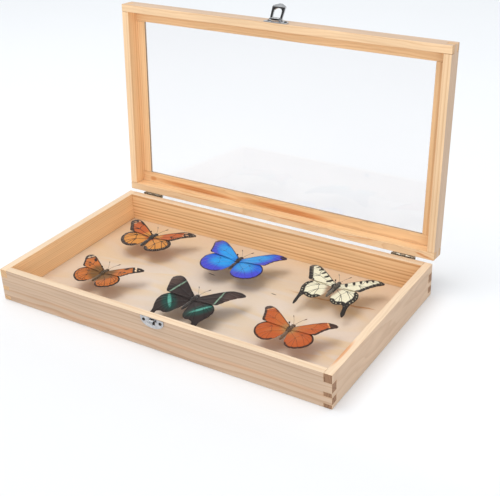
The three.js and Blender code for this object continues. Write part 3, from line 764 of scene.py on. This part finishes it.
def morpho_layers(s):
    if s.kind == "fore":
        bright = s.oval((18, 8), (17, 9), 35)
        violet = s.outer - 9
        dark = any_of(s.outer - 1.5, s.costa - 0.9, s.oval((45.5, 28.5), (7.5, 4.2), 50))
    else:
        bright = s.oval((14, -9), (14, 10), -40)
        violet = s.beyond((16, -19), -70)
        dark = s.outer - 1.3
    return [
        ((70, 74, 205), 9.0, violet),
        ((40, 160, 236), 9.0, bright),
        ((24, 60, 140), 0.3, s.vein - 0.12),
        ((52, 30, 58), 1.1, dark),
        ((120, 116, 170), 0.3, s.rim_spots(3.6, 2.1, 0.24)),
    ]


def pale_swallowtail_layers(s):
    if s.kind == "fore":
        wash = NOWHERE
        bars = s.ovals(
            (9.5, 6.4, 5.4, 1.7, -62), (15.8, 11.8, 4.8, 1.5, -62), (21.6, 16.2, 4.3, 1.4, -62),
            (27, 20, 3.9, 1.4, -62), (32.2, 23.4, 3.2, 1.3, -62),
        )
        dark = any_of(s.outer - 4.6, s.costa - 0.8, s.root - 5)
        crescents = all_of(s.rim_spots(4.2, 3.2, 0.55), 0.5 - s.vein)
    else:
        wash = s.beyond((6.5, -12), 165)
        bars = s.beyond((3.2, 0), 180)
        tail = s.oval((27, -36), (3.2, 9))
        dark = any_of(s.outer - 4.8, tail)
        crescents = all_of(s.rim_spots(4.4, 1.9, 0.75), 0.4 - s.vein, 0.3 - tail)
    return [
        ((168, 138, 112), 5.0, wash),
        (BLACK, 0.35, s.vein - 0.24),
        ((36, 31, 28), 0.6, bars),
        ((42, 36, 33), 1.2, dark),
        ((186, 178, 148), 0.6, crescents),
    ]


def tiger_layers(s):
    brown = s.root - (15 if s.kind == "fore" else 17)
    if s.kind == "fore":
        apex = s.beyond((28.5, 17), 34)
        dark = any_of(s.outer - 1.8, s.costa - 0.8, apex)
        pale = s.ovals((30.2, 20.6, 3, 1.1, -50), (32.8, 16.4, 1.9, 1.2, -50), (35.4, 19.6, 0.9, 0.7, 0))
        bars = s.ovals((22.2, 14.4, 1.5, 3, -50), (24.4, 7.4, 1.6, 1.3, 0), (20.6, 2.6, 1.2, 1, 0))
    else:
        dark = s.outer - 1.8
        pale = NOWHERE
        bars = s.rim_spots(3.4, 4.2, 0.65)
    return [
        ((122, 82, 36), 9.0, brown),
        ((70, 38, 20), 0.3, s.vein - 0.22),
        ((40, 26, 20), 0.7, bars),
        ((38, 26, 22), 0.9, dark),
        ((238, 206, 168), 0.6, pale),
    ]


def dark_swallowtail_layers(s):
    brown = green = stripe = patch = NOWHERE
    if s.kind == "fore":
        brown = s.oval((37, 17), (8, 14), 20)
        stripe = all_of(s.oval((26.3, 11), (1.0, 15.5), 7), 0.18 - s.vein)
    else:
        green = s.oval((19, -16), (15, 7.5), 53)
        patch = all_of(s.oval((19.4, -14.6), (11.5, 1.9), 53), 0.2 - s.vein)
    return [
        ((70, 50, 44), 6.0, brown),
        ((14, 62, 54), 6.0, green),
        ((18, 14, 14), 0.4, s.vein - 0.2),
        ((132, 162, 138), 0.8, stripe),
        ((84, 160, 142), 1.1, patch),
    ]


def orange_layers(s):
    if s.kind == "fore":
        apex = s.beyond((31.5, 20.5), 36)
        dark = any_of(s.outer - 2.6, s.costa - 0.7, apex)
        pale = s.ovals((31.6, 21, 3, 0.9, -50), (34.6, 17.6, 1.6, 0.8, -50))
    else:
        dark = s.outer - 1.9
        pale = NOWHERE
    return [
        ((186, 88, 36), 6.0, s.outer - 12),
        ((176, 128, 76), 8.0, s.root - 8),
        ((110, 54, 24), 0.3, s.vein - 0.16),
        ((62, 38, 28), 1.4, dark),
        ((222, 146, 88), 0.7, pale),
    ]


# ---- Butterflies: species ----


@dataclass
class Species:
    """A butterfly: where it stands, its body's length and width, its colours and its wings."""

    name: str
    slot: str
    place: tuple
    length: float
    width: float
    ground: tuple
    underside: tuple
    fur: tuple  # dark and light
    layers: Callable
    forewing: Wing
    hindwing: Wing
    metallic: float = 0.0


MONARCH = Species(
    "monarch", "monarch_wing", place=(-119, 47), length=33, width=6.4,
    ground=(188, 92, 42), underside=(206, 150, 84), fur=((34, 28, 26), (78, 62, 52)),
    layers=monarch_layers,
    forewing=Wing(
        [(1, 4.5), (10, 10.5), (20, 17), (30, 22.5), (38, 26), (44, 26.6), (45.8, 23.5), (42.5, 15.5),
         (37, 8), (33, 2), (30, -1.6), (20, -1.5), (10, -0.8), (1, 0)],
        ((24, 17.2), (22, 6.5)),
    ),
    hindwing=Wing(
        [(1, 0.5), (10, 1.5), (20, 1.5), (28, -1.5), (32.5, -7.5), (32.5, -14.5), (29, -21),
         (23, -26.5), (16, -29), (9.5, -27.5), (5, -21), (2.5, -12), (1, -5)],
        ((17, -4.5), (13.5, -12)), HIND_MARGIN, HIND_VEINS,
    ),
)

MORPHO = Species(
    "blue_morpho", "morpho_wing", place=(0, 47), length=29, width=5.6,
    ground=(36, 104, 222), underside=(110, 84, 62), fur=((40, 30, 30), (88, 66, 56)),
    layers=morpho_layers,
    metallic=0.35,
    forewing=Wing(
        [(1, 4.5), (10, 11.5), (20, 19), (30, 25), (38, 28.8), (44.5, 29.8), (46.6, 26.5), (44, 19),
         (40.5, 11.5), (38, 5), (35.5, -1.2), (26, -2), (13, -1.5), (1, -0.5)],
        ((23, 18.5), (21, 8)),
    ),
    hindwing=Wing(
        [(1, 0), (12, 1.5), (24, 1.5), (33, -2.5), (37.5, -9.5), (37.5, -17.5), (34, -25),
         (27.5, -30.5), (19, -32.8), (11, -31), (5.5, -24.5), (2.5, -15), (1, -6)],
        ((18, -6), (15, -14)), (2.8, 9.6), HIND_VEINS,
    ),
)

PALE_SWALLOWTAIL = Species(
    "pale_swallowtail", "swallowtail_wing", place=(120, 48), length=33, width=6,
    ground=(234, 226, 196), underside=(228, 216, 176), fur=((60, 54, 48), (124, 112, 92)),
    layers=pale_swallowtail_layers,
    forewing=Wing(
        [(1, 4.5), (10, 11), (20, 18.5), (30, 25), (37, 28.6), (42, 29), (43.6, 25.5), (40.5, 17.5),
         (36.5, 9.5), (33, 2.5), (30, -3), (21, -3), (11, -2), (1, -1)],
        ((25, 19.6), (23, 8.5)),
    ),
    hindwing=Wing(
        [(1, -0.5), (12, 0), (22, -1), (29, -5), (31.4, -11.5), (31, -18), (29, -24), (28.3, -31),
         (28.6, -38), (27, -41.5), (24.9, -39), (24, -32), (22, -28.8), (17.5, -30.5), (12, -30.6),
         (7.5, -27), (4.5, -19), (2.5, -11), (1, -5)],
        ((15.5, -5.5), (13, -13)), (3, 15), ((2.4, 3.6, 4.7, 5.8), (9, 12.9, 14.2)),
    ),
)

TIGER = Species(
    "tiger", "tiger_wing", place=(-116, -45), length=29, width=5.4,
    ground=(192, 106, 42), underside=(196, 140, 84), fur=((66, 48, 28), (128, 98, 56)),
    layers=tiger_layers,
    forewing=Wing(
        [(1, 4), (9, 9.5), (18, 15.5), (26, 20.5), (33, 23.8), (38.2, 24), (39.4, 21), (36.5, 14),
         (32, 7.5), (29, 2), (26.5, -1.6), (18, -1.6), (9, -0.8), (1, 0)],
        ((20.5, 15.3), (18.5, 6)),
    ),
    hindwing=Wing(
        [(1, 0), (10, 1), (18, 1), (24.5, -1.5), (28.5, -7), (28.5, -13.5), (25.5, -19.5),
         (20, -24.3), (14, -26.6), (8.5, -24.8), (4.5, -18.5), (2.5, -10.5), (1, -4.5)],
        ((15, -4.5), (12, -11)), HIND_MARGIN, HIND_VEINS,
    ),
)

DARK_SWALLOWTAIL = Species(
    "dark_swallowtail", "dark_wing", place=(3, -44), length=32, width=6,
    ground=(44, 32, 30), underside=(84, 66, 54), fur=((30, 24, 22), (70, 56, 48)),
    layers=dark_swallowtail_layers,
    forewing=Wing(
        [(1, 4.5), (10, 12.5), (20, 21), (30, 28.3), (37.5, 32.4), (43, 33), (45.2, 29.5), (43, 22),
         (39.5, 14), (36.3, 7), (33.5, 0.5), (30.5, -3.5), (21, -3.5), (11, -2.3), (1, -1)],
        ((25.5, 22.5), (23, 9.5)), (4.6, 10.9), ((3.4, 4.4, 5.3, 6.3, 7.3), (8.3, 9.2, 10.1)),
    ),
    hindwing=Wing(
        [(1, -0.5), (13, 0), (24, -1.5), (31, -6.5), (33.6, -13), (33, -20), (30.5, -26.5), (28.2, -32),
         (27.6, -38), (25.4, -41.2), (22.6, -39.5), (21.6, -34.4), (17.5, -33.2), (12.5, -33.6),
         (8, -30.2), (5, -22.5), (2.5, -13), (1, -6)],
        ((16.5, -7), (14, -15)), (2.8, 14), ((2.4, 3.6, 4.7, 5.8), (9, 12, 13.1)),
    ),
)

ORANGE = Species(
    "orange", "orange_wing", place=(118, -45), length=30, width=5.6,
    ground=(188, 98, 42), underside=(200, 146, 92), fur=((72, 52, 36), (140, 104, 66)),
    layers=orange_layers,
    forewing=Wing(
        [(1, 4), (10, 10.5), (20, 17.5), (29, 23), (36, 26.2), (40, 25.6), (40.4, 21.5), (37, 15),
         (34.2, 9), (32, 3), (29.5, -2), (20, -2), (10, -1), (1, 0)],
        ((22, 17), (20, 6.5)),
    ),
    hindwing=Wing(
        [(1, 0), (11, 1), (20, 1), (27, -2), (31, -8), (31, -14.5), (28, -20.8), (22.5, -25.8),
         (16, -28.2), (10, -26.6), (5.5, -20.5), (3, -12), (1, -5)],
        ((16, -5), (13, -11.5)), HIND_MARGIN, HIND_VEINS,
    ),
)

BUTTERFLIES = (MONARCH, MORPHO, PALE_SWALLOWTAIL, TIGER, DARK_SWALLOWTAIL, ORANGE)


def add_piece(species, suffix, mesh, material):
    piece = mesh_object(species.name + suffix, mesh, material)
    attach(piece, "case")
    return piece


def wing_material(species, layers):
    """Scales: the painted layers over the ground colour, with fine rows along the wing's rays."""
    shader = Shader(species.name + "_scales")
    ray = shader.attribute("ray", "Vector")
    rows = shader.noise(shader.moved(ray, scale=(4.5, 0.5, 1)), detail=3, roughness=0.6)
    speckle = shader.noise(in_case_mm(shader), scale=3.5)
    color = species.ground
    blur = (rows - 0.5) * 0.9
    for number, (paint, softness, _) in enumerate(layers):
        field = shader.attribute(f"layer_{number}", "Fac") + blur
        cover = shader.ease(field, softness / 2, -softness / 2)
        color = shader.mix(cover, color, paint)
    up_normal = shader.split(shader.coordinates("Normal"))[2]
    under = shader.ease(up_normal, 0.1, -0.2)
    color = shader.mix(under * 0.6, color, species.underside)
    color = shader.brighten(color, shader.ease(rows, 0.25, 0.75, 0.86, 1.12))
    color = shader.brighten(color, shader.ease(speckle, 0.3, 0.7, 0.93, 1.06))
    shader.bump(speckle, 0.25, 0.06)
    roughness = 0.42 if species.metallic else 0.66
    shader.finish(Base_Color=color, Roughness=roughness, Metallic=species.metallic)
    return shader.finish(Specular_IOR_Level=0.25, Sheen_Weight=0.25, Sheen_Roughness=0.4)


def wing_pair(species, wing, kind, drop):
    """The left and the right wing, each as corners in the case's frame, triangles, fields and
    rays, and the layers of their pattern.
    """
    flat, triangles, veins = triangulated(wing)
    surface = Surface(wing, flat, veins, kind)
    layers = species.layers(surface)
    fields = np.column_stack([np.broadcast_to(field, len(flat)) for _, _, field in layers])
    x, y = flat[:, 0], flat[:, 1]
    reach = x.max()
    ridge = VEIN_RISE * np.clip(1 - surface.vein / VEIN_REACH, 0, 1)
    ripple = RIPPLE_DEPTH * np.clip(surface.vein / RIPPLE_REACH, 0, 1)
    camber = CAMBER * np.sin(math.pi * np.clip(x / reach, 0, 1))
    droop = DROOP * np.clip(surface.root - reach * DROOP_START, 0, None) ** 2
    level = drop + WING_MIDDLE + ridge - ripple + camber - droop
    rays = np.column_stack([RAY_SPREAD * np.arctan2(y, x), surface.root, np.zeros(len(flat))])
    out = x * math.cos(WING_LIFT) - level * math.sin(WING_LIFT)
    up = x * math.sin(WING_LIFT) + level * math.cos(WING_LIFT) + WING_LEVEL
    left = np.column_stack([-out, y, up]) + (*species.place, 0)
    right = np.column_stack([out, y, up]) + (*species.place, 0)
    return [(left, triangles[:, ::-1], fields, rays), (right, triangles, fields, rays)], layers


def wings(species):
    """The four wings of a butterfly as one thin mesh with its painted layers."""
    fore, layers = wing_pair(species, species.forewing, "fore", 0)
    hind, _ = wing_pair(species, species.hindwing, "hind", -HINDWING_DROP)
    corners, faces, fields, rays = zip(*fore, *hind)
    starts = np.cumsum([0] + [len(part) for part in corners[:-1]])
    faces = np.vstack([part + start for part, start in zip(faces, starts)])
    mesh = bpy.data.meshes.new(species.name + "_wings")
    mesh.from_pydata((np.vstack(corners) * MM).tolist(), [], faces.tolist())
    for number, field in enumerate(np.vstack(fields).T):
        attribute = mesh.attributes.new(f"layer_{number}", "FLOAT", "POINT")
        attribute.data.foreach_set("value", field.astype(np.float32))
    attribute = mesh.attributes.new("ray", "FLOAT_VECTOR", "POINT")
    attribute.data.foreach_set("vector", np.vstack(rays).astype(np.float32).ravel())
    mesh.shade_smooth()
    piece = add_piece(species, "_wings", mesh, wing_material(species, layers))
    sheet = piece.modifiers.new("thickness", "SOLIDIFY")
    sheet.thickness = WING_SHEET * MM
    sheet.offset = 0
    return piece


# ---- Butterflies: bodies ----

BODY_SEGMENTS = 32
ABDOMEN_RINGS = 8
WAIST = 0.5  # where the abdomen ends, as a share of the body's length
HAIR_COUNT = 1300
HAIR_SEED = 40
HAIR_HALF_WIDTH = 0.055
HAIR_ON_THORAX = 0.8  # share of the hairs
THORAX = (0.53, 0.93)  # as shares of the body's length from the tail
ABDOMEN = (0.05, 0.53)
PIN_RADIUS = 0.2
PIN_HEAD = 0.85  # radius
# the body's outline: share of its length from the tail, and of its half width
BODY_PROFILE = (
    (0, 0), (0.02, 0.24), (0.06, 0.44), (0.16, 0.62), (0.32, 0.68), (0.46, 0.56), (0.52, 0.46),
    (0.56, 0.62), (0.62, 0.9), (0.7, 0.97), (0.78, 0.9), (0.84, 0.66), (0.87, 0.46), (0.9, 0.5),
    (0.94, 0.56), (0.98, 0.4), (1, 0),
)
ANTENNA_RADII = [0.14] * 16 + [0.18, 0.26, 0.38, 0.46, 0.42, 0.2]
HIPS = (-2.5, 0.5, 3.5)  # along the body
TONGUE_POINTS = 34
TONGUE_STEP = 0.42  # radians from point to point
TONGUE_REACH = 1.15
TONGUE_TIGHTENING = 0.028  # of the coil, from point to point


def body_radius(share):
    """Radius of a body as a share of half its width, from the tail at 0 to the brow at 1."""
    radius = float(np.interp(share, *zip(*BODY_PROFILE)))
    if share < WAIST:
        radius *= 1 - 0.07 * abs(math.cos(math.pi * share * ABDOMEN_RINGS / WAIST))
    return radius


def body_material(species):
    shader = Shader(species.name + "_body")
    place = in_case_mm(shader)
    down = shader.noise(shader.moved(place, scale=(2.5, 0.7, 2.5)), detail=3)
    patches = shader.noise(place, scale=0.5)
    color = shader.mix(shader.ease(down, 0.35, 0.7), *species.fur)
    color = shader.brighten(color, shader.ease(patches, 0.3, 0.7, 0.8, 1.2))
    shader.bump(down, 0.6, 0.15)
    return shader.finish(Base_Color=color, Roughness=0.75, Sheen_Weight=0.4, Sheen_Roughness=0.5)


def tube(bm, path, radii, sides):
    """A round tapering tube along a path, closed at both ends."""
    path = [Vector(point) for point in path]
    rings = []
    for number, point in enumerate(path):
        ahead = path[min(number + 1, len(path) - 1)] - path[max(number - 1, 0)]
        turn = ahead.to_track_quat("Z", "X")
        corners = circle(radii[number], sides)
        rings.append([bm.verts.new(turn @ corner + point) for corner in corners])
    skin(bm, rings)


def curved(start, middle, end, count):
    """Points on a smooth arc from start to end that leans towards middle."""
    shares = np.linspace(0, 1, count)[:, None]
    start, middle, end = np.array(start), np.array(middle), np.array(end)
    return start * (1 - shares) ** 2 + middle * 2 * shares * (1 - shares) + end * shares**2


def body_mesh(species):
    """Abdomen, thorax and head in one turned form, a little flattened from above."""
    half = species.width / 2
    shares = np.concatenate([[0.004], np.linspace(0.02, 0.98, 66), [0.996]])
    profile = [(max(body_radius(s), 0.03) * half, (s - WING_ROOT) * species.length) for s in shares]
    bm = lathe(profile, BODY_SEGMENTS)
    bmesh.ops.rotate(bm, verts=bm.verts, matrix=Matrix.Rotation(-math.pi / 2, 3, "X"))
    bmesh.ops.scale(bm, verts=bm.verts, vec=(1, 1, 0.92))
    eye_level = (0.94 - WING_ROOT) * species.length
    for side in (-1, 1):
        eye = Matrix.Translation((side * half * 0.5, eye_level, half * 0.08))
        bmesh.ops.create_uvsphere(bm, u_segments=16, v_segments=10, radius=half * 0.3, matrix=eye)
    return bm


def limbs_mesh(species):
    """Antennae with clubs, six jointed legs and the coiled tongue."""
    half = species.width / 2
    brow = (0.97 - WING_ROOT) * species.length
    bm = bmesh.new()
    for side in (-1, 1):
        base = (side * 0.4, brow - 1, 0.3)
        bend = (side * 2.6, brow + 5.5, 1.9)
        club = (side * 7.7, brow + 12.5, 2.3)
        tube(bm, curved(base, bend, club, len(ANTENNA_RADII)), ANTENNA_RADII, 8)
        for along in HIPS:
            hip = (side * half * 0.4, along, -half * 0.5)
            knee = (side * (half + 1.6), along * 1.3, -half * 0.8)
            foot = (side * (half + 3), along * 1.9, -half - 4)
            tube(bm, [hip, knee], [0.3, 0.22], 8)
            tube(bm, [knee, foot], [0.22, 0.1], 8)
    coil = []
    for number in range(TONGUE_POINTS):
        angle = number * TONGUE_STEP
        reach = TONGUE_REACH - number * TONGUE_TIGHTENING
        coil.append((0, brow + 0.6 + reach * math.sin(angle), -1.3 + reach * math.cos(angle)))
    tube(bm, coil, [0.11] * len(coil), 6)
    return bm


def hair_mesh(species, seed):
    """Fine hairs on the thorax, the wing roots and along the abdomen."""
    rng = np.random.default_rng(seed)
    half = species.width / 2
    count = HAIR_COUNT
    bm = bmesh.new()
    for _ in range(count):
        share = rng.uniform(*(THORAX if rng.random() < HAIR_ON_THORAX else ABDOMEN))
        angle = rng.uniform(-0.35, math.pi + 0.35)
        radius = max(body_radius(share), 0.3) * half * 0.95
        outward = Vector((math.cos(angle), 0, math.sin(angle) * 0.92))
        root = outward * radius + Vector((0, (share - WING_ROOT) * species.length, 0))
        lean = Vector((rng.normal(0, 0.25), rng.normal(-0.9, 0.35), rng.normal(0, 0.2)))
        length = rng.uniform(0.7, 1.7) if share > THORAX[0] else rng.uniform(0.4, 0.8)
        way = (outward * 0.75 + lean).normalized()
        across = way.cross(outward)
        if across.length < 0.05:
            continue
        across = across.normalized() * HAIR_HALF_WIDTH
        middle = root + way * length * 0.55 + outward * 0.1
        low = [bm.verts.new(root - across), bm.verts.new(root + across)]
        high = [bm.verts.new(middle + across * 0.7), bm.verts.new(middle - across * 0.7)]
        bm.faces.new(low + high)
        bm.faces.new([high[1], high[0], bm.verts.new(root + way * length)])
    return bm


def pin_mesh():
    """A thin steel insect pin with a round head."""
    top = PIN_TOP - WING_LEVEL
    tip = PIN_TIP - WING_LEVEL
    shaft = [(0.02, tip), (PIN_RADIUS, tip + 1.6), (PIN_RADIUS, top - 2 * PIN_HEAD)]
    middle = top - PIN_HEAD
    turns = np.radians(np.arange(18, 172, 11))
    ball = [(PIN_HEAD * math.sin(turn), middle - PIN_HEAD * math.cos(turn)) for turn in turns]
    return lathe(shaft + ball, 20)


def add_butterfly(species, number, pin_steel):
    node = species.name + "_butterfly"
    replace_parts(wings(species), node)
    fur = body_material(species)
    forms = (
        ("_body", body_mesh(species), fur),
        ("_limbs", limbs_mesh(species), fur),
        ("_hair", hair_mesh(species, HAIR_SEED + number), fur),
        ("_pin", pin_mesh(), pin_steel),
    )
    for suffix, form, material in forms:
        mesh = as_mesh(form, species.name + suffix)
        mesh.transform(Matrix.Translation(Vector((*species.place, WING_LEVEL)) * MM))
        mesh.shade_smooth()
        add_piece(species, suffix, mesh, material)


# ---- CAD nodes that stay ----

WOOD_EDGE = 0.45
HINGE_EDGE = 0.12
LATCH_EDGE = 0.18
PANE_EDGE = 0.15


def dress(node, material, edge=0.0, smooth_angle=30):
    """Gives a CAD node its material and, where edge isn't 0, edges eased by that many mm."""
    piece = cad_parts[node]
    piece.data.materials.clear()
    piece.data.materials.append(material)
    if edge:
        weld = piece.modifiers.new("weld", "WELD")
        weld.merge_threshold = 1e-6
        ease = piece.modifiers.new("eased edges", "BEVEL")
        ease.width = edge * MM
        ease.segments = 2
        ease.limit_method = "ANGLE"
        ease.angle_limit = math.radians(smooth_angle)
        ease.harden_normals = True


def dress_wood():
    for boards, on_lid in ((CASE_BOARDS, False), (LID_BOARDS, True)):
        for name, board in boards.items():
            dress(name, pine(name, board, on_lid), edge=WOOD_EDGE)
    dress("bottom_panel", plywood())


def dress_fittings(hinge_steel, plated_steel):
    for name in ("hinge_left", "hinge_right"):
        for part in ("case_leaf", "lid_leaf", "pin"):
            dress(f"{name}_{part}", hinge_steel, edge=HINGE_EDGE, smooth_angle=40)
    for name in ("latch_catch", "latch_plate", "latch_pin", "latch_loop"):
        dress(name, plated_steel, edge=LATCH_EDGE, smooth_angle=40)


# ---- Stage, lights and camera, in metres ----

FLOOR_HALF = 6
FLOOR_DROP = 0.0003  # keeps the floor's face clear of the case's underside
FLAG_REACH = 3.5
FLAG_LOW = 0.12
FLAG_HIGH = 4.4
FLAG_ARC = (190, 290)  # degrees, with the front at 270
FLAG_SEGMENTS = 12


def add_floor():
    bm = bmesh.new()
    bmesh.ops.create_grid(bm, x_segments=4, y_segments=4, size=FLOOR_HALF)
    shader = Shader("studio_floor")
    place = shader.coordinates("Object")
    color = shader.mix(shader.noise(place, scale=3.0), (241, 242, 244), (244, 245, 247))
    # painted shade: the floor is darker in front of the case, which tones down the stronger light there
    # and deepens the shadow by the front wall
    front_painted_shade = shader.ease(shader.split(place)[1], -0.08, -0.18)
    color = shader.mix(front_painted_shade, color, (233, 233, 234))
    paint = shader.finish(Base_Color=color, Roughness=0.9)
    floor = mesh_object("studio_floor", as_mesh(bm, "studio_floor", 1), paint)
    floor.location.z = -FLOOR_DROP


def add_flag():
    """A dark cloth in front of the set, seen only in reflections, that gives the metal its darks."""
    bm = bmesh.new()
    turns = np.radians(np.linspace(*FLAG_ARC, FLAG_SEGMENTS + 1))
    rim = [(FLAG_REACH * math.cos(turn), FLAG_REACH * math.sin(turn)) for turn in turns]
    low, high = [[bm.verts.new((x, y, z)) for x, y in rim] for z in (FLAG_LOW, FLAG_HIGH)]
    for number in range(FLAG_SEGMENTS):
        bm.faces.new((low[number], low[number + 1], high[number + 1], high[number]))
    shader = Shader("studio_flag")
    tone = shader.noise(shader.coordinates("Object"))
    color = shader.mix(tone, (14, 14, 15), (28, 28, 30))
    cloth = shader.finish(Base_Color=color, Roughness=0.9)
    flag = mesh_object("studio_flag", as_mesh(bm, "studio_flag", 1), cloth)
    flag.visible_camera = False
    flag.visible_diffuse = False
    flag.visible_shadow = False
    flag.visible_transmission = False


def add_light(name, place, aim, size, power):
    data = bpy.data.lights.new(name, "AREA")
    data.shape = "DISK"
    data.size = size
    data.energy = power
    light = add_object(name, data)
    light.location = place
    light.rotation_mode = "QUATERNION"
    light.rotation_quaternion = (Vector(aim) - Vector(place)).to_track_quat("-Z", "Y")


def add_lights():
    world = bpy.data.worlds.new("studio")
    bpy.context.scene.world = world
    world.use_nodes = True
    background = world.node_tree.nodes["Background"]
    background.inputs["Color"].default_value = (0.95, 0.98, 1.0, 1)
    background.inputs["Strength"].default_value = 0.82
    add_light("key", place=(-0.4, -0.32, 2.4), aim=(0, 0, 0.05), size=1.7, power=25)
    add_light("fill", place=(1.2, -1.5, 0.75), aim=(0, 0.05, 0.12), size=1.2, power=7)
    bpy.context.scene.view_settings.view_transform = "Standard"


def add_camera():
    back = Vector((math.sin(AZIMUTH), -math.cos(AZIMUTH), 0)) * math.cos(ELEVATION)
    back.z = math.sin(ELEVATION)
    level_right = Vector((math.cos(AZIMUTH), math.sin(AZIMUTH), 0))
    level_up = level_right.cross(-back)
    right = level_right * math.cos(ROLL) + level_up * math.sin(ROLL)
    up = level_up * math.cos(ROLL) - level_right * math.sin(ROLL)
    place = Vector((0, 0, AIM_HEIGHT)) + back * CAMERA_DISTANCE + right * AIM_RIGHT + up * AIM_UP
    data = bpy.data.cameras.new("camera")
    data.sensor_width = SENSOR_WIDTH
    data.lens = FOCAL_LENGTH
    data.clip_start = 0.01
    camera = add_object("camera", data)
    axes = Matrix((right, up, back)).transposed().to_4x4()
    camera.matrix_world = Matrix.Translation(place * MM) @ axes
    bpy.context.scene.camera = camera


# ---- Build ----

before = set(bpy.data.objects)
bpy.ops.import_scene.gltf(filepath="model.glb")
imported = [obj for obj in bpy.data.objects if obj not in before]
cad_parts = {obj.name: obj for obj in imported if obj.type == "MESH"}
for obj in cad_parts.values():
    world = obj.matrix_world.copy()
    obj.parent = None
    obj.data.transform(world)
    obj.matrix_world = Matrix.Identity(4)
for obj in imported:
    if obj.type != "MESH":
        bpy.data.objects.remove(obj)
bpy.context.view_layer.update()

add_camera()
add_lights()
add_floor()
add_flag()
hinge_metal = metal("aged_hinge_steel", (186, 176, 160), (142, 132, 116), polish=0.34, patch_scale=0.6)
zinc = metal("zinc_plate", (206, 206, 207), (184, 184, 186), polish=0.1, patch_scale=0.25)
screw_metal = metal("dark_screw_steel", (92, 88, 84), (56, 52, 50), polish=0.28, patch_scale=0.8)
pin_metal = metal("black_pin", (70, 68, 66), (52, 50, 48), polish=0.25, patch_scale=0.8)
dress_wood()
dress_fittings(hinge_metal, zinc)
dress("glass_pane", clear_glass(), edge=PANE_EDGE)
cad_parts["glass_pane"].visible_shadow = False
add_screws(hinge_metal, screw_metal)
for number, species in enumerate(BUTTERFLIES):
    add_butterfly(species, number, pin_metal)
